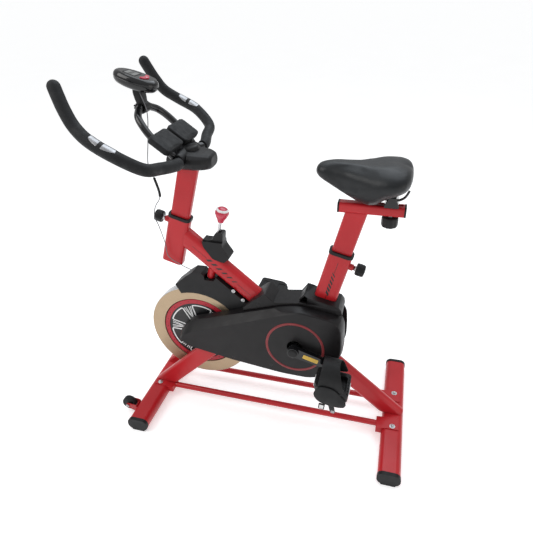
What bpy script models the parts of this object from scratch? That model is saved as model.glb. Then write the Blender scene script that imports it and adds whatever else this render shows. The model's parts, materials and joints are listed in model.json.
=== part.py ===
"""Indoor spin bike, modelled as an assembly of separate solids.

Metres, +Z up. The bike faces -X, its plane of symmetry is Y = 0 and the rider's left is -Y.
The origin is on the floor, under the middle of the bounding box.
Side views are drawn as (x, z) points. Each named object is one physical piece.
"""

import math

import bmesh
import bpy
from mathutils import Matrix, Vector

COLLECTION = "spin_bike"
GAP = 0.0003  # clearance between pieces that touch

# Floor frame
FRONT_FOOT_X = -0.395
REAR_FOOT_X = 0.455
FOOT_LENGTH = 0.506
FOOT_WIDTH = 0.070
FOOT_HEIGHT = 0.044
FOOT_BOTTOM = 0.005
FOOT_CENTRE_Z = FOOT_BOTTOM + FOOT_HEIGHT / 2
TUBE_WALL = 0.0025
CAP_LENGTH = 0.012
SIDE_BAR_Y = 0.060
SIDE_BAR_Z = 0.036
SIDE_BAR_RADIUS = 0.0100
LUG_Y = 0.064
LUG_WIDTH = 0.050
LUG_THICKNESS = 0.003

# Main beam, a straight line through the crank axis
CRANK = Vector((0.119, 0.0, 0.327))
BEAM_SLOPE = 0.846
BEAM_HEIGHT = 0.064
BEAM_WIDTH = 0.038
BEAM_FRONT_X = -0.280
BEAM_REAR_X = 0.447
CROSS_TUBE = Vector((-0.012, 0.0, 0.405))

# Head tube and seat tube: base point on the axis, and lean dx/dz
HEAD_BASE = Vector((-0.311, 0.0, 0.552))
HEAD_LEAN = 0.28
HEAD_COLLAR_Z = 0.709
SEAT_BASE = Vector((0.1528, 0.0, 0.298))
SEAT_LEAN = 0.25
SEAT_COLLAR_Z = 0.642
SLEEVE_DEPTH = 0.070
SLEEVE_WIDTH = 0.040
POST_DEPTH = 0.061
POST_WIDTH = 0.029
SLEEVE_CORNER = 0.012
KNOB_ROOT_HEAD_Z = 0.690
KNOB_ROOT_SEAT_Z = 0.612
PIN_RADIUS = 0.004

# Flywheel and fork
WHEEL = Vector((-0.236, 0.0, 0.279))
WHEEL_RADIUS = 0.182
WHEEL_HALF_WIDTH = 0.020
AXLE_RADIUS = 0.006
BLADE_SLOPE = 1.0
BLADE_RISE = 0.429
BLADE_INNER_Y = 0.042
BLADE_THICKNESS = 0.024
BLADE_DEPTH = 0.061

# Drive
BELT_Y = -0.033
BELT_WIDTH = 0.009
DRIVE_PULLEY_RADIUS = 0.090
WHEEL_PULLEY_RADIUS = 0.0225
CRANK_LENGTH = 0.145
CRANK_DROP = math.radians(16.0)
CRANK_ARM_Y = 0.098
PEDAL_Y = 0.172
PEDAL_TILT = math.radians(6.0)
PEDAL_INNER_Y = 0.122
PEDAL_OUTER_Y = 0.222
STRAP_STEPS = 10
STRAP_THICKNESS = 0.003
STRAP_FOOT = 0.0125
STRAP_RISE = 0.078

# Covers
COVER_WALL = 0.0025
FACE_CORNERS = [
    (-0.293, 0.284),
    (-0.256, 0.318),
    (0.100, 0.458),
    (0.130, 0.466),
    (0.243, 0.448),
    (0.262, 0.424),
    (0.267, 0.367),
    (0.267, 0.320),
    (0.228, 0.226),
    (0.166, 0.204),
    (0.073, 0.206),
    (-0.097, 0.227),
    (-0.262, 0.257),
]
RIM_CORNERS = [
    (-0.297, 0.296),
    (-0.250, 0.351),
    (0.068, 0.460),
    (0.126, 0.471),
    (0.248, 0.451),
    (0.267, 0.427),
    (0.271, 0.367),
    (0.271, 0.318),
    (0.231, 0.223),
    (0.167, 0.201),
    (0.073, 0.203),
    (-0.097, 0.224),
    (-0.266, 0.254),
]
COVER_INNER_Y = 0.0262
FENDER_RADIUS = 0.1865
FENDER_HALF_WIDTH = 0.0250

# Brake, on a line from the wheel axle
BRAKE_LEAN = 0.237
BRAKE_GUIDE_LOW = 0.232
BRAKE_GUIDE_HIGH = 0.350
BRAKE_GUIDE_RADIUS = 0.013
BRAKE_BORE_RADIUS = 0.0095
PAD_GAP = 0.0070

# Handlebar
BAR_RADIUS = 0.0125
GRIP_RADIUS = 0.0165
CLAMP_CENTRE = Vector((-0.222, 0.0, 0.915))
LOOP_RADIUS = 0.0105
LOOP_TOP = Vector((-0.340, 0.0, 1.042))
PAD_SLOPE = math.radians(35.5)
PAD_HALF_WIDTH = 0.051
PAD_LENGTH = 0.070
PAD_THICKNESS = 0.020
CONSOLE_CENTRE = Vector((-0.350, 0.0, 1.113))
CONSOLE_SLOPE = math.radians(17.0)

# Seat
RAIL_TUBE_CENTRE = Vector((0.313, 0.0, 0.796))
RAIL_TUBE_LENGTH = 0.174
RAIL_TUBE_HEIGHT = 0.030
RAIL_TUBE_WIDTH = 0.036
SADDLE_CLAMP_X = 0.365
RAIL_Y = 0.020
RAIL_Z = 0.8335

# Transport wheels
CASTER_AXLE = Vector((-0.4655, 0.0, 0.038))
CASTER_RADIUS = 0.0255
CASTER_Y = 0.185

COLOURS = {
    "red_paint": ((0.42, 0.015, 0.025), 0.35, 0.2),
    "black_plastic": ((0.022, 0.024, 0.026), 0.45, 0.0),
    "gloss_black": ((0.01, 0.01, 0.012), 0.15, 0.3),
    "foam": ((0.02, 0.02, 0.022), 0.9, 0.0),
    "rubber": ((0.015, 0.015, 0.015), 0.8, 0.0),
    "steel": ((0.6, 0.6, 0.6), 0.3, 1.0),
    "wheel_iron": ((0.55, 0.42, 0.3), 0.45, 0.8),
    "red_plastic": ((0.55, 0.03, 0.06), 0.4, 0.0),
    "vinyl": ((0.015, 0.016, 0.018), 0.4, 0.0),
    "felt": ((0.3, 0.28, 0.25), 1.0, 0.0),
}


# ---------------------------------------------------------------- scene helpers


def clear_scene():
    for obj in list(bpy.data.objects):
        bpy.data.objects.remove(obj)


def new_collection(name):
    made = bpy.data.collections.new(name)
    bpy.context.scene.collection.children.link(made)
    return made


def make_material(name):
    colour, roughness, metallic = COLOURS[name]
    made = bpy.data.materials.new(name)
    made.use_nodes = True
    shader = made.node_tree.nodes["Principled BSDF"]
    shader.inputs["Base Color"].default_value = (*colour, 1.0)
    shader.inputs["Roughness"].default_value = roughness
    shader.inputs["Metallic"].default_value = metallic
    return made


clear_scene()
PARTS = new_collection(COLLECTION)
CUTTERS = new_collection("cutters")
MATERIALS = {name: make_material(name) for name in COLOURS}


def add_mesh(name, bm, matrix=None):
    """A mesh object from a bmesh, its points in world metres unless a matrix places it."""
    bmesh.ops.recalc_face_normals(bm, faces=bm.faces)
    mesh = bpy.data.meshes.new(name)
    bm.to_mesh(mesh)
    bm.free()
    obj = bpy.data.objects.new(name, mesh)
    PARTS.objects.link(obj)
    if matrix is not None:
        obj.matrix_world = matrix
    return obj


def finish(obj, material, smooth_angle=35.0):
    """Gives a piece its own material and smooth shading up to an angle."""
    obj.data.materials.clear()
    obj.data.materials.append(MATERIALS[material].copy())
    obj.data.materials[0].name = obj.name + "_" + material
    if obj.type == "MESH":
        obj.data.shade_smooth()
        obj.data.set_sharp_from_angle(angle=math.radians(smooth_angle))
    return obj


def to_mesh(curve_object):
    """Turns a curve object into a welded mesh object of the same name and place."""
    bpy.context.view_layer.update()
    graph = bpy.context.evaluated_depsgraph_get()
    mesh = bpy.data.meshes.new_from_object(curve_object.evaluated_get(graph))
    matrix = curve_object.matrix_world.copy()
    name = curve_object.name
    bpy.data.objects.remove(curve_object)
    bm = bmesh.new()
    bm.from_mesh(mesh)
    bpy.data.meshes.remove(mesh)
    bmesh.ops.remove_doubles(bm, verts=bm.verts, dist=1e-6)
    return add_mesh(name, bm, matrix)


def apply_modifiers(obj):
    bpy.context.view_layer.update()
    graph = bpy.context.evaluated_depsgraph_get()
    mesh = bpy.data.meshes.new_from_object(obj.evaluated_get(graph))
    obj.modifiers.clear()
    obj.data = mesh
    return obj


def combine(obj, other, operation):
    """Boolean of two mesh objects, applied; the second one stays as a hidden helper."""
    PARTS.objects.unlink(other)
    CUTTERS.objects.link(other)
    other.hide_render = True
    other.display_type = "WIRE"
    modifier = obj.modifiers.new(operation.lower(), "BOOLEAN")
    modifier.operation = operation
    modifier.object = other
    apply_modifiers(obj)
    bpy.data.objects.remove(other)
    return obj


def cut(obj, cutter):
    return combine(obj, cutter, "DIFFERENCE")


def join(obj, other):
    return combine(obj, other, "UNION")


def soften(obj, width, segments=1, angle=35.0):
    """Rounds the sharp edges of a mesh."""
    modifier = obj.modifiers.new("bevel", "BEVEL")
    modifier.width = width
    modifier.segments = segments
    modifier.limit_method = "ANGLE"
    modifier.angle_limit = math.radians(angle)
    return apply_modifiers(obj)


# ---------------------------------------------------------------- shape helpers


def frame_from(origin, x_axis, y_axis, z_axis):
    return Matrix(
        (
            (x_axis[0], y_axis[0], z_axis[0], origin[0]),
            (x_axis[1], y_axis[1], z_axis[1], origin[1]),
            (x_axis[2], y_axis[2], z_axis[2], origin[2]),
            (0, 0, 0, 1),
        )
    )


def along(origin, direction):
    """A frame whose Z runs along a direction and whose Y stays as near world Y as it can."""
    z_axis = Vector(direction).normalized()
    helper = Vector((0, 1, 0)) if abs(z_axis.y) < 0.9 else Vector((1, 0, 0))
    x_axis = helper.cross(z_axis).normalized()
    return frame_from(origin, x_axis, z_axis.cross(x_axis), z_axis)


def side_frame(y):
    """Drawing plane of a side view: local X is world X, local Y is world Z."""
    return frame_from((0, y, 0), (1, 0, 0), (0, 0, 1), (0, -1, 0))


def lean(axis_lean):
    return Vector((axis_lean, 0.0, 1.0)).normalized()


def on_axis(base, axis_lean, z):
    return Vector((base.x + axis_lean * (z - base.z), base.y, z))


def beam_z(x):
    return CRANK.z + BEAM_SLOPE * (CRANK.x - x)


def beam_point(x):
    return Vector((x, 0.0, beam_z(x)))


def blade_z(x):
    """Centre line of the fork blades."""
    return BLADE_RISE + BLADE_SLOPE * x


def circle(radius, steps, centre=(0.0, 0.0)):
    return [
        (
            centre[0] + radius * math.cos(2 * math.pi * i / steps),
            centre[1] + radius * math.sin(2 * math.pi * i / steps),
        )
        for i in range(steps)
    ]


def arc(centre, radius, start, end, steps):
    """Points of an arc in a drawing plane, angles in degrees."""
    points = []
    for i in range(steps + 1):
        angle = math.radians(start + (end - start) * i / steps)
        points.append((centre[0] + radius * math.cos(angle), centre[1] + radius * math.sin(angle)))
    return points


def rounded_box(width, height, corner, steps=3):
    """Outline of a rectangle with round corners, centred on the drawing plane's origin."""
    x, y = width / 2 - corner, height / 2 - corner
    corners = [((x, y), 0), ((-x, y), 90), ((-x, -y), 180), ((x, -y), 270)]
    points = []
    for centre, start in corners:
        points += arc(centre, corner, start, start + 90, steps)
    return points


def rounded_outline(points, radius, steps=3):
    """A polygon with its corners rounded by quadratic arcs of about the given radius."""
    made = []
    count = len(points)
    for i in range(count):
        before, here, after = (Vector((*points[(i + k) % count], 0)) for k in (-1, 0, 1))
        reach_in = min(radius, (before - here).length * 0.45)
        reach_out = min(radius, (after - here).length * 0.45)
        first = here + (before - here).normalized() * reach_in
        last = here + (after - here).normalized() * reach_out
        for k in range(steps + 1):
            t = k / steps
            point = first * (1 - t) ** 2 + here * 2 * t * (1 - t) + last * t**2
            made.append((point.x, point.y))
    return made


def prism(name, outlines, thickness, matrix):
    """A flat outline, with the outlines after the first as its holes, thickened both ways."""
    curve = bpy.data.curves.new(name, "CURVE")
    curve.dimensions = "2D"
    curve.fill_mode = "BOTH"
    curve.extrude = thickness / 2
    for outline in outlines:
        spline = curve.splines.new("POLY")
        spline.points.add(len(outline) - 1)
        for point, (x, y) in zip(spline.points, outline):
            point.co = (x, y, 0, 1)
        spline.use_cyclic_u = True
    obj = bpy.data.objects.new(name, curve)
    PARTS.objects.link(obj)
    obj.matrix_world = matrix
    return to_mesh(obj)


def side_plate(name, outlines, y_from, y_to):
    """A side-view outline extruded between two Y planes."""
    middle = (y_from + y_to) / 2
    return prism(name, outlines, abs(y_to - y_from), side_frame(middle))


def bar_between(name, start, end, outlines):
    """A straight bar with the given section; the section's Y is world Y."""
    start, end = Vector(start), Vector(end)
    return prism(name, outlines, (end - start).length, along((start + end) / 2, end - start))


def turned(name, profile, matrix, steps=24):
    """A solid of revolution about the frame's Z, from (radius, height) points, top to bottom."""
    bm = bmesh.new()
    points = [bm.verts.new((radius, 0, height)) for radius, height in profile]
    for first, second in zip(points, points[1:]):
        bm.edges.new((first, second))
    mesh = bpy.data.meshes.new(name)
    bm.to_mesh(mesh)
    bm.free()
    obj = bpy.data.objects.new(name, mesh)
    PARTS.objects.link(obj)
    screw = obj.modifiers.new("turn", "SCREW")
    screw.steps = steps
    screw.render_steps = steps
    screw.use_merge_vertices = True
    screw.merge_threshold = 1e-5
    apply_modifiers(obj)
    bm = bmesh.new()
    bm.from_mesh(obj.data)
    bmesh.ops.remove_doubles(bm, verts=bm.verts, dist=1e-6)
    bmesh.ops.recalc_face_normals(bm, faces=bm.faces)
    if bm.calc_volume(signed=True) < 0:
        bmesh.ops.reverse_faces(bm, faces=bm.faces)
    bm.to_mesh(obj.data)
    bm.free()
    obj.matrix_world = matrix
    return obj


def cylinder(name, start, end, radius, steps=16):
    start, end = Vector(start), Vector(end)
    length = (end - start).length
    profile = [(0, length), (radius, length), (radius, 0), (0, 0)]
    return turned(name, profile, along(start, end - start), steps)


def ring(name, start, end, outer, inner, steps=24):
    start, end = Vector(start), Vector(end)
    length = (end - start).length
    profile = [(inner, length), (outer, length), (outer, 0), (inner, 0), (inner, length)]
    return turned(name, profile, along(start, end - start), steps)


def smooth_path(points, per_span=4):
    """Points of a Catmull-Rom curve through the given points."""
    points = [Vector(p) for p in points]
    ends = [points[0] * 2 - points[1], *points, points[-1] * 2 - points[-2]]
    made = []
    for a, b, c, d in zip(ends, ends[1:], ends[2:], ends[3:]):
        for k in range(per_span):
            t = k / per_span
            made.append(
                0.5 * (2 * b + (c - a) * t + (2 * a - 5 * b + 4 * c - d) * t**2 + (3 * b - a - 3 * c + d) * t**3)
            )
    return [*made, points[-1]]


def rod(name, points, radius, resolution=2, closed=False):
    """A round rod along a path of points."""
    curve = bpy.data.curves.new(name, "CURVE")
    curve.dimensions = "3D"
    curve.bevel_depth = radius
    curve.bevel_resolution = resolution
    curve.use_fill_caps = True
    curve.twist_mode = "MINIMUM"
    spline = curve.splines.new("POLY")
    spline.points.add(len(points) - 1)
    for point, place in zip(spline.points, points):
        point.co = (*place, 1)
    spline.use_cyclic_u = closed
    obj = bpy.data.objects.new(name, curve)
    PARTS.objects.link(obj)
    return to_mesh(obj)


def loft(name, sections, close_start=True, close_end=True):
    """A surface through sections, each a list of the same number of world points."""
    bm = bmesh.new()
    rows = [[bm.verts.new(point) for point in section] for section in sections]
    count = len(rows[0])
    for first, second in zip(rows, rows[1:]):
        for i in range(count):
            j = (i + 1) % count
            bm.faces.new((first[i], first[j], second[j], second[i]))
    if close_start:
        bm.faces.new(rows[0])
    if close_end:
        bm.faces.new(rows[-1])
    return add_mesh(name, bm)


def side_section(outline, y):
    return [Vector((x, y, z)) for x, z in outline]


def grown(outline, amount):
    """The outline moved outwards by an amount, corner by corner."""
    count = len(outline)
    area = sum(
        outline[i][0] * outline[(i + 1) % count][1] - outline[(i + 1) % count][0] * outline[i][1]
        for i in range(count)
    )
    sign = 1.0 if area > 0 else -1.0
    made = []
    for i in range(count):
        before, here, after = (Vector(outline[(i + k) % count]) for k in (-1, 0, 1))
        first = (here - before).normalized()
        second = (after - here).normalized()
        normal = Vector((first.y + second.y, -first.x - second.x)) * sign
        normal.normalize()
        half = max(0.5, normal.dot(Vector((first.y, -first.x)) * sign))
        made.append(tuple(here + normal * amount / half))
    return made


# ---------------------------------------------------------------- frame


def beam_outer(extra=0.0):
    return rounded_box(BEAM_HEIGHT + 2 * extra, BEAM_WIDTH + 2 * extra, BEAM_WIDTH / 2 - 0.001 + extra, 4)


def sleeve_outer(extra=0.0):
    return rounded_box(SLEEVE_DEPTH + 2 * extra, SLEEVE_WIDTH + 2 * extra, SLEEVE_CORNER + extra)


def post_outer(extra=0.0):
    return rounded_box(POST_DEPTH + 2 * extra, POST_WIDTH + 2 * extra, SLEEVE_CORNER - 0.003 + extra)


def beam_envelope(extra, name="beam_envelope"):
    front = beam_point(BEAM_FRONT_X - 0.08)
    rear = beam_point(BEAM_REAR_X + 0.1)
    return bar_between(name, front, rear, [beam_outer(extra)])


def brake_point(distance):
    """Point on the brake line at a distance from the wheel axle."""
    return WHEEL + lean(BRAKE_LEAN) * distance


def make_main_beam():
    front = beam_point(BEAM_FRONT_X - 0.005)
    rear = beam_point(BEAM_REAR_X + 0.02)
    beam = bar_between("main_beam", front, rear, [beam_outer(), beam_outer(-TUBE_WALL)])
    head = bar_between(
        "head_cope",
        on_axis(HEAD_BASE, HEAD_LEAN, 0.45),
        on_axis(HEAD_BASE, HEAD_LEAN, 0.80),
        [sleeve_outer(GAP)],
    )
    cut(beam, head)
    foot_top = FOOT_BOTTOM + FOOT_HEIGHT + GAP
    floor = [(0.3, -0.1), (0.6, -0.1), (0.6, foot_top), (0.3, foot_top)]
    below = side_plate("floor_cope", [floor], -0.1, 0.1)
    cut(beam, below)
    cross = CROSS_TUBE
    reach = Vector((0, BLADE_INNER_Y - GAP, 0))
    join(beam, cylinder("cross_tube", cross - reach, cross + reach, 0.012))
    across = Vector((0, 0.06, 0))
    shell_cut = cylinder("shell_cut", CRANK - across, CRANK + across, 0.021 + GAP, 24)
    cut(beam, shell_cut)
    guide_low = brake_point(BRAKE_GUIDE_LOW)
    guide_high = brake_point(BRAKE_GUIDE_HIGH)
    guide = cylinder("guide", guide_low, guide_high, BRAKE_GUIDE_RADIUS, 20)
    join(beam, guide)
    cut(beam, cylinder("guide_bore", brake_point(0.20), brake_point(0.40), BRAKE_BORE_RADIUS, 20))
    finish(beam, "red_paint")


def knob_direction(axis_lean, side):
    """Outward direction of a pull pin, square to the leaning tube; side is +1 rearwards."""
    return Vector((1.0, 0.0, -axis_lean)).normalized() * side


def make_sleeve(name, base, axis_lean, low_z, high_z, knob_z, side):
    """Hollow outer tube of a post, with a threaded boss for its pull pin."""
    tube = bar_between(
        name,
        on_axis(base, axis_lean, low_z),
        on_axis(base, axis_lean, high_z),
        [sleeve_outer(), sleeve_outer(-TUBE_WALL)],
    )
    root = on_axis(base, axis_lean, knob_z)
    out = knob_direction(axis_lean, side)
    wall = SLEEVE_DEPTH / 2
    join(tube, cylinder("boss", root + out * (wall - 0.0015), root + out * (wall + 0.012), 0.010, 12))
    cut(tube, cylinder("pin_hole", root + out * 0.02, root + out * 0.06, PIN_RADIUS + GAP, 12))
    return tube


def make_head_tube():
    tube = make_sleeve("head_tube", HEAD_BASE, HEAD_LEAN, 0.552, HEAD_COLLAR_Z, KNOB_ROOT_HEAD_Z, -1)
    finish(tube, "red_paint")


def make_seat_tube():
    tube = make_sleeve("seat_tube", SEAT_BASE, SEAT_LEAN, 0.300, SEAT_COLLAR_Z, KNOB_ROOT_SEAT_Z, 1)
    cut(tube, beam_envelope(GAP))
    reach = Vector((0, 0.1, 0))
    cut(tube, cylinder("shell_cope", CRANK - reach, CRANK + reach, 0.021 + GAP, 24))
    finish(tube, "red_paint")


def make_bushing(name, base, axis_lean, collar_z, knob_z, side):
    """Plastic bushing pressed into the top of a sleeve, with a lip over its rim."""
    axis = lean(axis_lean)
    top = on_axis(base, axis_lean, collar_z)
    lip_outer = rounded_box(SLEEVE_DEPTH + 0.005, SLEEVE_WIDTH + 0.005, SLEEVE_CORNER + 0.0025)
    lip = bar_between(name, top + axis * GAP, top + axis * 0.010, [lip_outer, post_outer(GAP)])
    inner = bar_between(
        "insert", top - axis * 0.035, top + axis * 0.004, [sleeve_outer(-TUBE_WALL - GAP), post_outer(GAP)]
    )
    join(lip, inner)
    root = on_axis(base, axis_lean, knob_z)
    out = knob_direction(axis_lean, side)
    cut(lip, cylinder("pin_hole", root + out * 0.02, root + out * 0.06, PIN_RADIUS + 0.001, 12))
    finish(lip, "black_plastic")


def make_fork_blade(name, side):
    """Fork blade with the axle plate welded to its upper edge."""
    slope = math.atan(BLADE_SLOPE)
    middle_x = -0.20
    centre = Vector((middle_x, side * (BLADE_INNER_Y + BLADE_THICKNESS / 2), blade_z(middle_x)))
    direction = Vector((math.cos(slope), 0, math.sin(slope)))
    section = [
        rounded_box(BLADE_DEPTH, BLADE_THICKNESS, 0.008),
        rounded_box(BLADE_DEPTH - 2 * TUBE_WALL, BLADE_THICKNESS - 2 * TUBE_WALL, 0.0055),
    ]
    blade = bar_between(name, centre - direction * 0.30, centre + direction * 0.30, section)
    foot_top = FOOT_BOTTOM + FOOT_HEIGHT + LUG_THICKNESS + 2 * GAP
    low = [(-0.6, -0.3), (0.2, -0.3), (0.2, foot_top), (-0.6, foot_top)]
    cut(blade, side_plate("low_cope", [low], -0.1, 0.1))
    top = [(-0.5, 0.2418), (0.1, 0.4535), (0.1, 0.8), (-0.5, 0.8)]
    cut(blade, side_plate("top_cope", [top], -0.1, 0.1))
    normal = Vector((-math.sin(slope), math.cos(slope)))
    foot_point = Vector((WHEEL.x, WHEEL.z)) - normal * 0.034
    run = Vector((math.cos(slope), math.sin(slope)))
    corners = [foot_point - run * 0.040, foot_point + run * 0.040]
    plate_outline = [tuple(corners[0]), tuple(corners[1])]
    plate_outline += arc((WHEEL.x, WHEEL.z), 0.020, math.degrees(slope) + 10, math.degrees(slope) + 170, 6)
    hole = circle(AXLE_RADIUS + GAP, 12, (WHEEL.x, WHEEL.z))
    y = side * (BLADE_INNER_Y + 0.007)
    plate = side_plate("axle_plate", [plate_outline, hole], y - 0.003, y + 0.003)
    join(blade, plate)
    finish(blade, "red_paint")


def make_bottom_bracket():
    """Shell through the beam, longer on the right, with a sealed cartridge inside."""
    low = CRANK - Vector((0, 0.0255, 0))
    high = CRANK + Vector((0, 0.060, 0))
    shell = ring("bottom_bracket_shell", low, high, 0.021, 0.0175, 24)
    finish(shell, "red_paint")
    inset = Vector((0, 0.001, 0))
    cartridge = ring("bearing_cartridge", low + inset, high - inset, 0.0172, 0.0088, 24)
    finish(cartridge, "steel")


# ---------------------------------------------------------------- floor frame


def foot_outline(extra=0.0):
    return rounded_box(FOOT_WIDTH + 2 * extra, FOOT_HEIGHT + 2 * extra, 0.018 + extra, 4)


def foot_matrix(x, y):
    """A frame whose Z runs along the foot; section X is world X, section Y is world Z."""
    return side_frame(y) @ Matrix.Translation((x, FOOT_CENTRE_Z, 0))


def make_foot(name, x):
    tube_length = FOOT_LENGTH
    tube = prism(name, [foot_outline(), foot_outline(-TUBE_WALL)], tube_length, foot_matrix(x, 0.0))
    finish(tube, "red_paint")
    for side, word in ((-1, "left"), (1, "right")):
        centre_y = side * (tube_length / 2 + CAP_LENGTH / 2 + GAP)
        cap = prism(name + "_cap_" + word, [foot_outline(0.0012)], CAP_LENGTH, foot_matrix(x, centre_y))
        sole = [(x - 0.022, 0.0), (x + 0.022, 0.0), (x + 0.026, 0.012), (x - 0.026, 0.012)]
        join(cap, side_plate("sole", [sole], centre_y - CAP_LENGTH / 2, centre_y + CAP_LENGTH / 2))
        finish(cap, "rubber")


def make_side_bar(name, side):
    """Round tie bar between the feet, its flattened ends folded over the foot tops."""
    y = side * SIDE_BAR_Y
    front = FRONT_FOOT_X + FOOT_WIDTH / 2 + 0.012
    rear = REAR_FOOT_X - FOOT_WIDTH / 2 - 0.012
    bar = cylinder(name, (front, y, SIDE_BAR_Z), (rear, y, SIDE_BAR_Z), SIDE_BAR_RADIUS, 14)
    top = FOOT_BOTTOM + FOOT_HEIGHT + GAP
    lug_low = side * LUG_Y - LUG_WIDTH / 2
    for x, inwards in ((FRONT_FOOT_X, 1), (REAR_FOOT_X, -1)):
        edge = x + inwards * (FOOT_WIDTH / 2 + GAP)
        outline = [
            (x + inwards * 0.020, top - 0.003),
            (edge - inwards * 0.004, top - 0.020),
            (edge, SIDE_BAR_Z - 0.0118),
            (edge + inwards * 0.018, SIDE_BAR_Z - 0.0118),
            (edge + inwards * 0.018, SIDE_BAR_Z + 0.0112),
            (edge + inwards * 0.001, SIDE_BAR_Z + 0.0125),
            (x + inwards * 0.019, top + LUG_THICKNESS),
            (x - inwards * 0.020, top + LUG_THICKNESS),
            (x - inwards * 0.020, top - 0.003),
        ]
        lug = side_plate("lug", [outline], lug_low, lug_low + LUG_WIDTH)
        cut(lug, prism("foot_cope", [foot_outline(GAP)], 0.3, foot_matrix(x, y)))
        join(bar, lug)
    finish(bar, "red_paint")


# ---------------------------------------------------------------- transport wheels


def make_caster(side, word):
    y = side * CASTER_Y
    axle = Vector((CASTER_AXLE.x, y, CASTER_AXLE.z))
    foot_edge = FRONT_FOOT_X - FOOT_WIDTH / 2
    half = 0.0135
    tongue = [
        (foot_edge - GAP, 0.014),
        (foot_edge - GAP, 0.044),
        (CASTER_AXLE.x, CASTER_AXLE.z + 0.010),
        (CASTER_AXLE.x - 0.009, CASTER_AXLE.z),
        (CASTER_AXLE.x, CASTER_AXLE.z - 0.010),
    ]
    outline = rounded_outline(tongue, 0.006, 2)
    bracket = side_plate(word + "_wheel_bracket", [outline], y - half - 0.003, y + half + 0.003)
    clear = [(-0.60, 0.0), (foot_edge - 0.0031, 0.0), (foot_edge - 0.0031, 0.1), (-0.60, 0.1)]
    cut(bracket, side_plate("slot", [clear], y - half, y + half))
    reach = Vector((0, half + 0.006, 0))
    bolt = cylinder("bolt", axle - reach, axle + reach, 0.004, 12)
    join(bracket, bolt)
    finish(bracket, "red_paint")
    wheel = turned(
        word + "_transport_wheel",
        [
            (0.0043, 0.010),
            (0.010, 0.010),
            (0.019, 0.007),
            (0.0235, 0.010),
            (CASTER_RADIUS, 0.0075),
            (CASTER_RADIUS, -0.0075),
            (0.0235, -0.010),
            (0.019, -0.007),
            (0.010, -0.010),
            (0.0043, -0.010),
            (0.0043, 0.010),
        ],
        along(axle, (0, 1, 0)),
        20,
    )
    finish(wheel, "rubber")


# ---------------------------------------------------------------- flywheel and drive


def make_flywheel():
    r = WHEEL_RADIUS
    w = WHEEL_HALF_WIDTH
    profile = [
        (0.012, w + 0.004),
        (0.024, w + 0.004),
        (0.028, 0.006),
        (0.140, 0.006),
        (0.146, w - 0.001),
        (r - 0.002, w),
        (r, w - 0.002),
        (r, -w + 0.002),
        (r - 0.002, -w),
        (0.146, -w + 0.001),
        (0.140, -0.006),
        (0.028, -0.006),
        (0.024, -w - 0.004),
        (0.012, -w - 0.004),
        (0.012, w + 0.004),
    ]
    wheel = turned("flywheel", profile, along(WHEEL, (0, 1, 0)), 48)
    join(wheel, make_flywheel_pulley())
    finish(wheel, "wheel_iron")


def make_flywheel_pulley():
    """Small flanged pulley, cast in one with the flywheel."""
    half = BELT_WIDTH / 2 + 0.0018
    groove = WHEEL_PULLEY_RADIUS - 0.002
    profile = [
        (0.0125, half),
        (groove + 0.003, half),
        (groove, half - 0.001),
        (groove, -half + 0.001),
        (groove + 0.003, -half),
        (0.0125, -half - 0.006),
        (0.0125, half),
    ]
    return turned("pulley", profile, along((WHEEL.x, BELT_Y - 0.0005, WHEEL.z), (0, -1, 0)), 28)


def make_wheel_axle():
    """Fixed axle, held in the fork plates by a nut at each end."""
    inner = BLADE_INNER_Y + 0.010 + GAP
    profile = [
        (0, 0.064),
        (AXLE_RADIUS, 0.064),
        (AXLE_RADIUS, inner + 0.009),
        (0.010, inner + 0.008),
        (0.010, inner),
        (AXLE_RADIUS, inner),
        (AXLE_RADIUS, -inner),
        (0.010, -inner),
        (0.010, -inner - 0.008),
        (AXLE_RADIUS, -inner - 0.009),
        (AXLE_RADIUS, -0.064),
        (0, -0.064),
    ]
    axle = turned("wheel_axle", profile, along(WHEEL, (0, 1, 0)), 12)
    finish(axle, "steel")


def make_belt():
    """Belt loop round both pulleys, its inner face just clear of them."""
    big = Vector((CRANK.x, CRANK.z))
    small = Vector((WHEEL.x, WHEEL.z))
    line = big - small
    lean_angle = math.degrees(math.atan2(line.y, line.x))
    open_angle = math.degrees(math.acos((DRIVE_PULLEY_RADIUS - WHEEL_PULLEY_RADIUS) / line.length))

    def loop(extra):
        big_r = DRIVE_PULLEY_RADIUS - 0.002 + extra
        small_r = WHEEL_PULLEY_RADIUS - 0.002 + extra
        turn = 180 - open_angle
        points = arc(tuple(big), big_r, lean_angle - turn, lean_angle + turn, 22)
        return points + arc(tuple(small), small_r, lean_angle + turn, lean_angle + 360 - turn, 10)

    near, far = BELT_Y - BELT_WIDTH / 2, BELT_Y + BELT_WIDTH / 2
    belt = side_plate("drive_belt", [loop(0.0026), loop(0.0009)], near, far)
    finish(belt, "rubber")


def make_crank():
    spindle = turned(
        "crank_axle",
        [(0, 0.088), (0.0085, 0.088), (0.0085, -0.088), (0, -0.088)],
        along(CRANK, (0, 1, 0)),
        16,
    )
    finish(spindle, "steel")
    half = BELT_WIDTH / 2 + 0.0018
    centre = -BELT_Y
    pulley = turned(
        "drive_pulley",
        [
            (0.0088, centre + 0.014),
            (0.0220, centre + 0.014),
            (0.0220, centre + half),
            (DRIVE_PULLEY_RADIUS + 0.001, centre + half),
            (DRIVE_PULLEY_RADIUS - 0.002, centre + half - 0.002),
            (DRIVE_PULLEY_RADIUS - 0.002, centre - half + 0.002),
            (DRIVE_PULLEY_RADIUS + 0.001, centre - half),
            (0.0088, centre - half),
            (0.0088, centre + 0.014),
        ],
        along(CRANK, (0, -1, 0)),
        28,
    )
    finish(pulley, "black_plastic")


def crank_end(side):
    """Pedal axis of a side; the two arms point opposite ways."""
    reach = CRANK_LENGTH * (1 if side < 0 else -1)
    return Vector((CRANK.x + reach * math.cos(CRANK_DROP), 0.0, CRANK.z - reach * math.sin(CRANK_DROP)))


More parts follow.
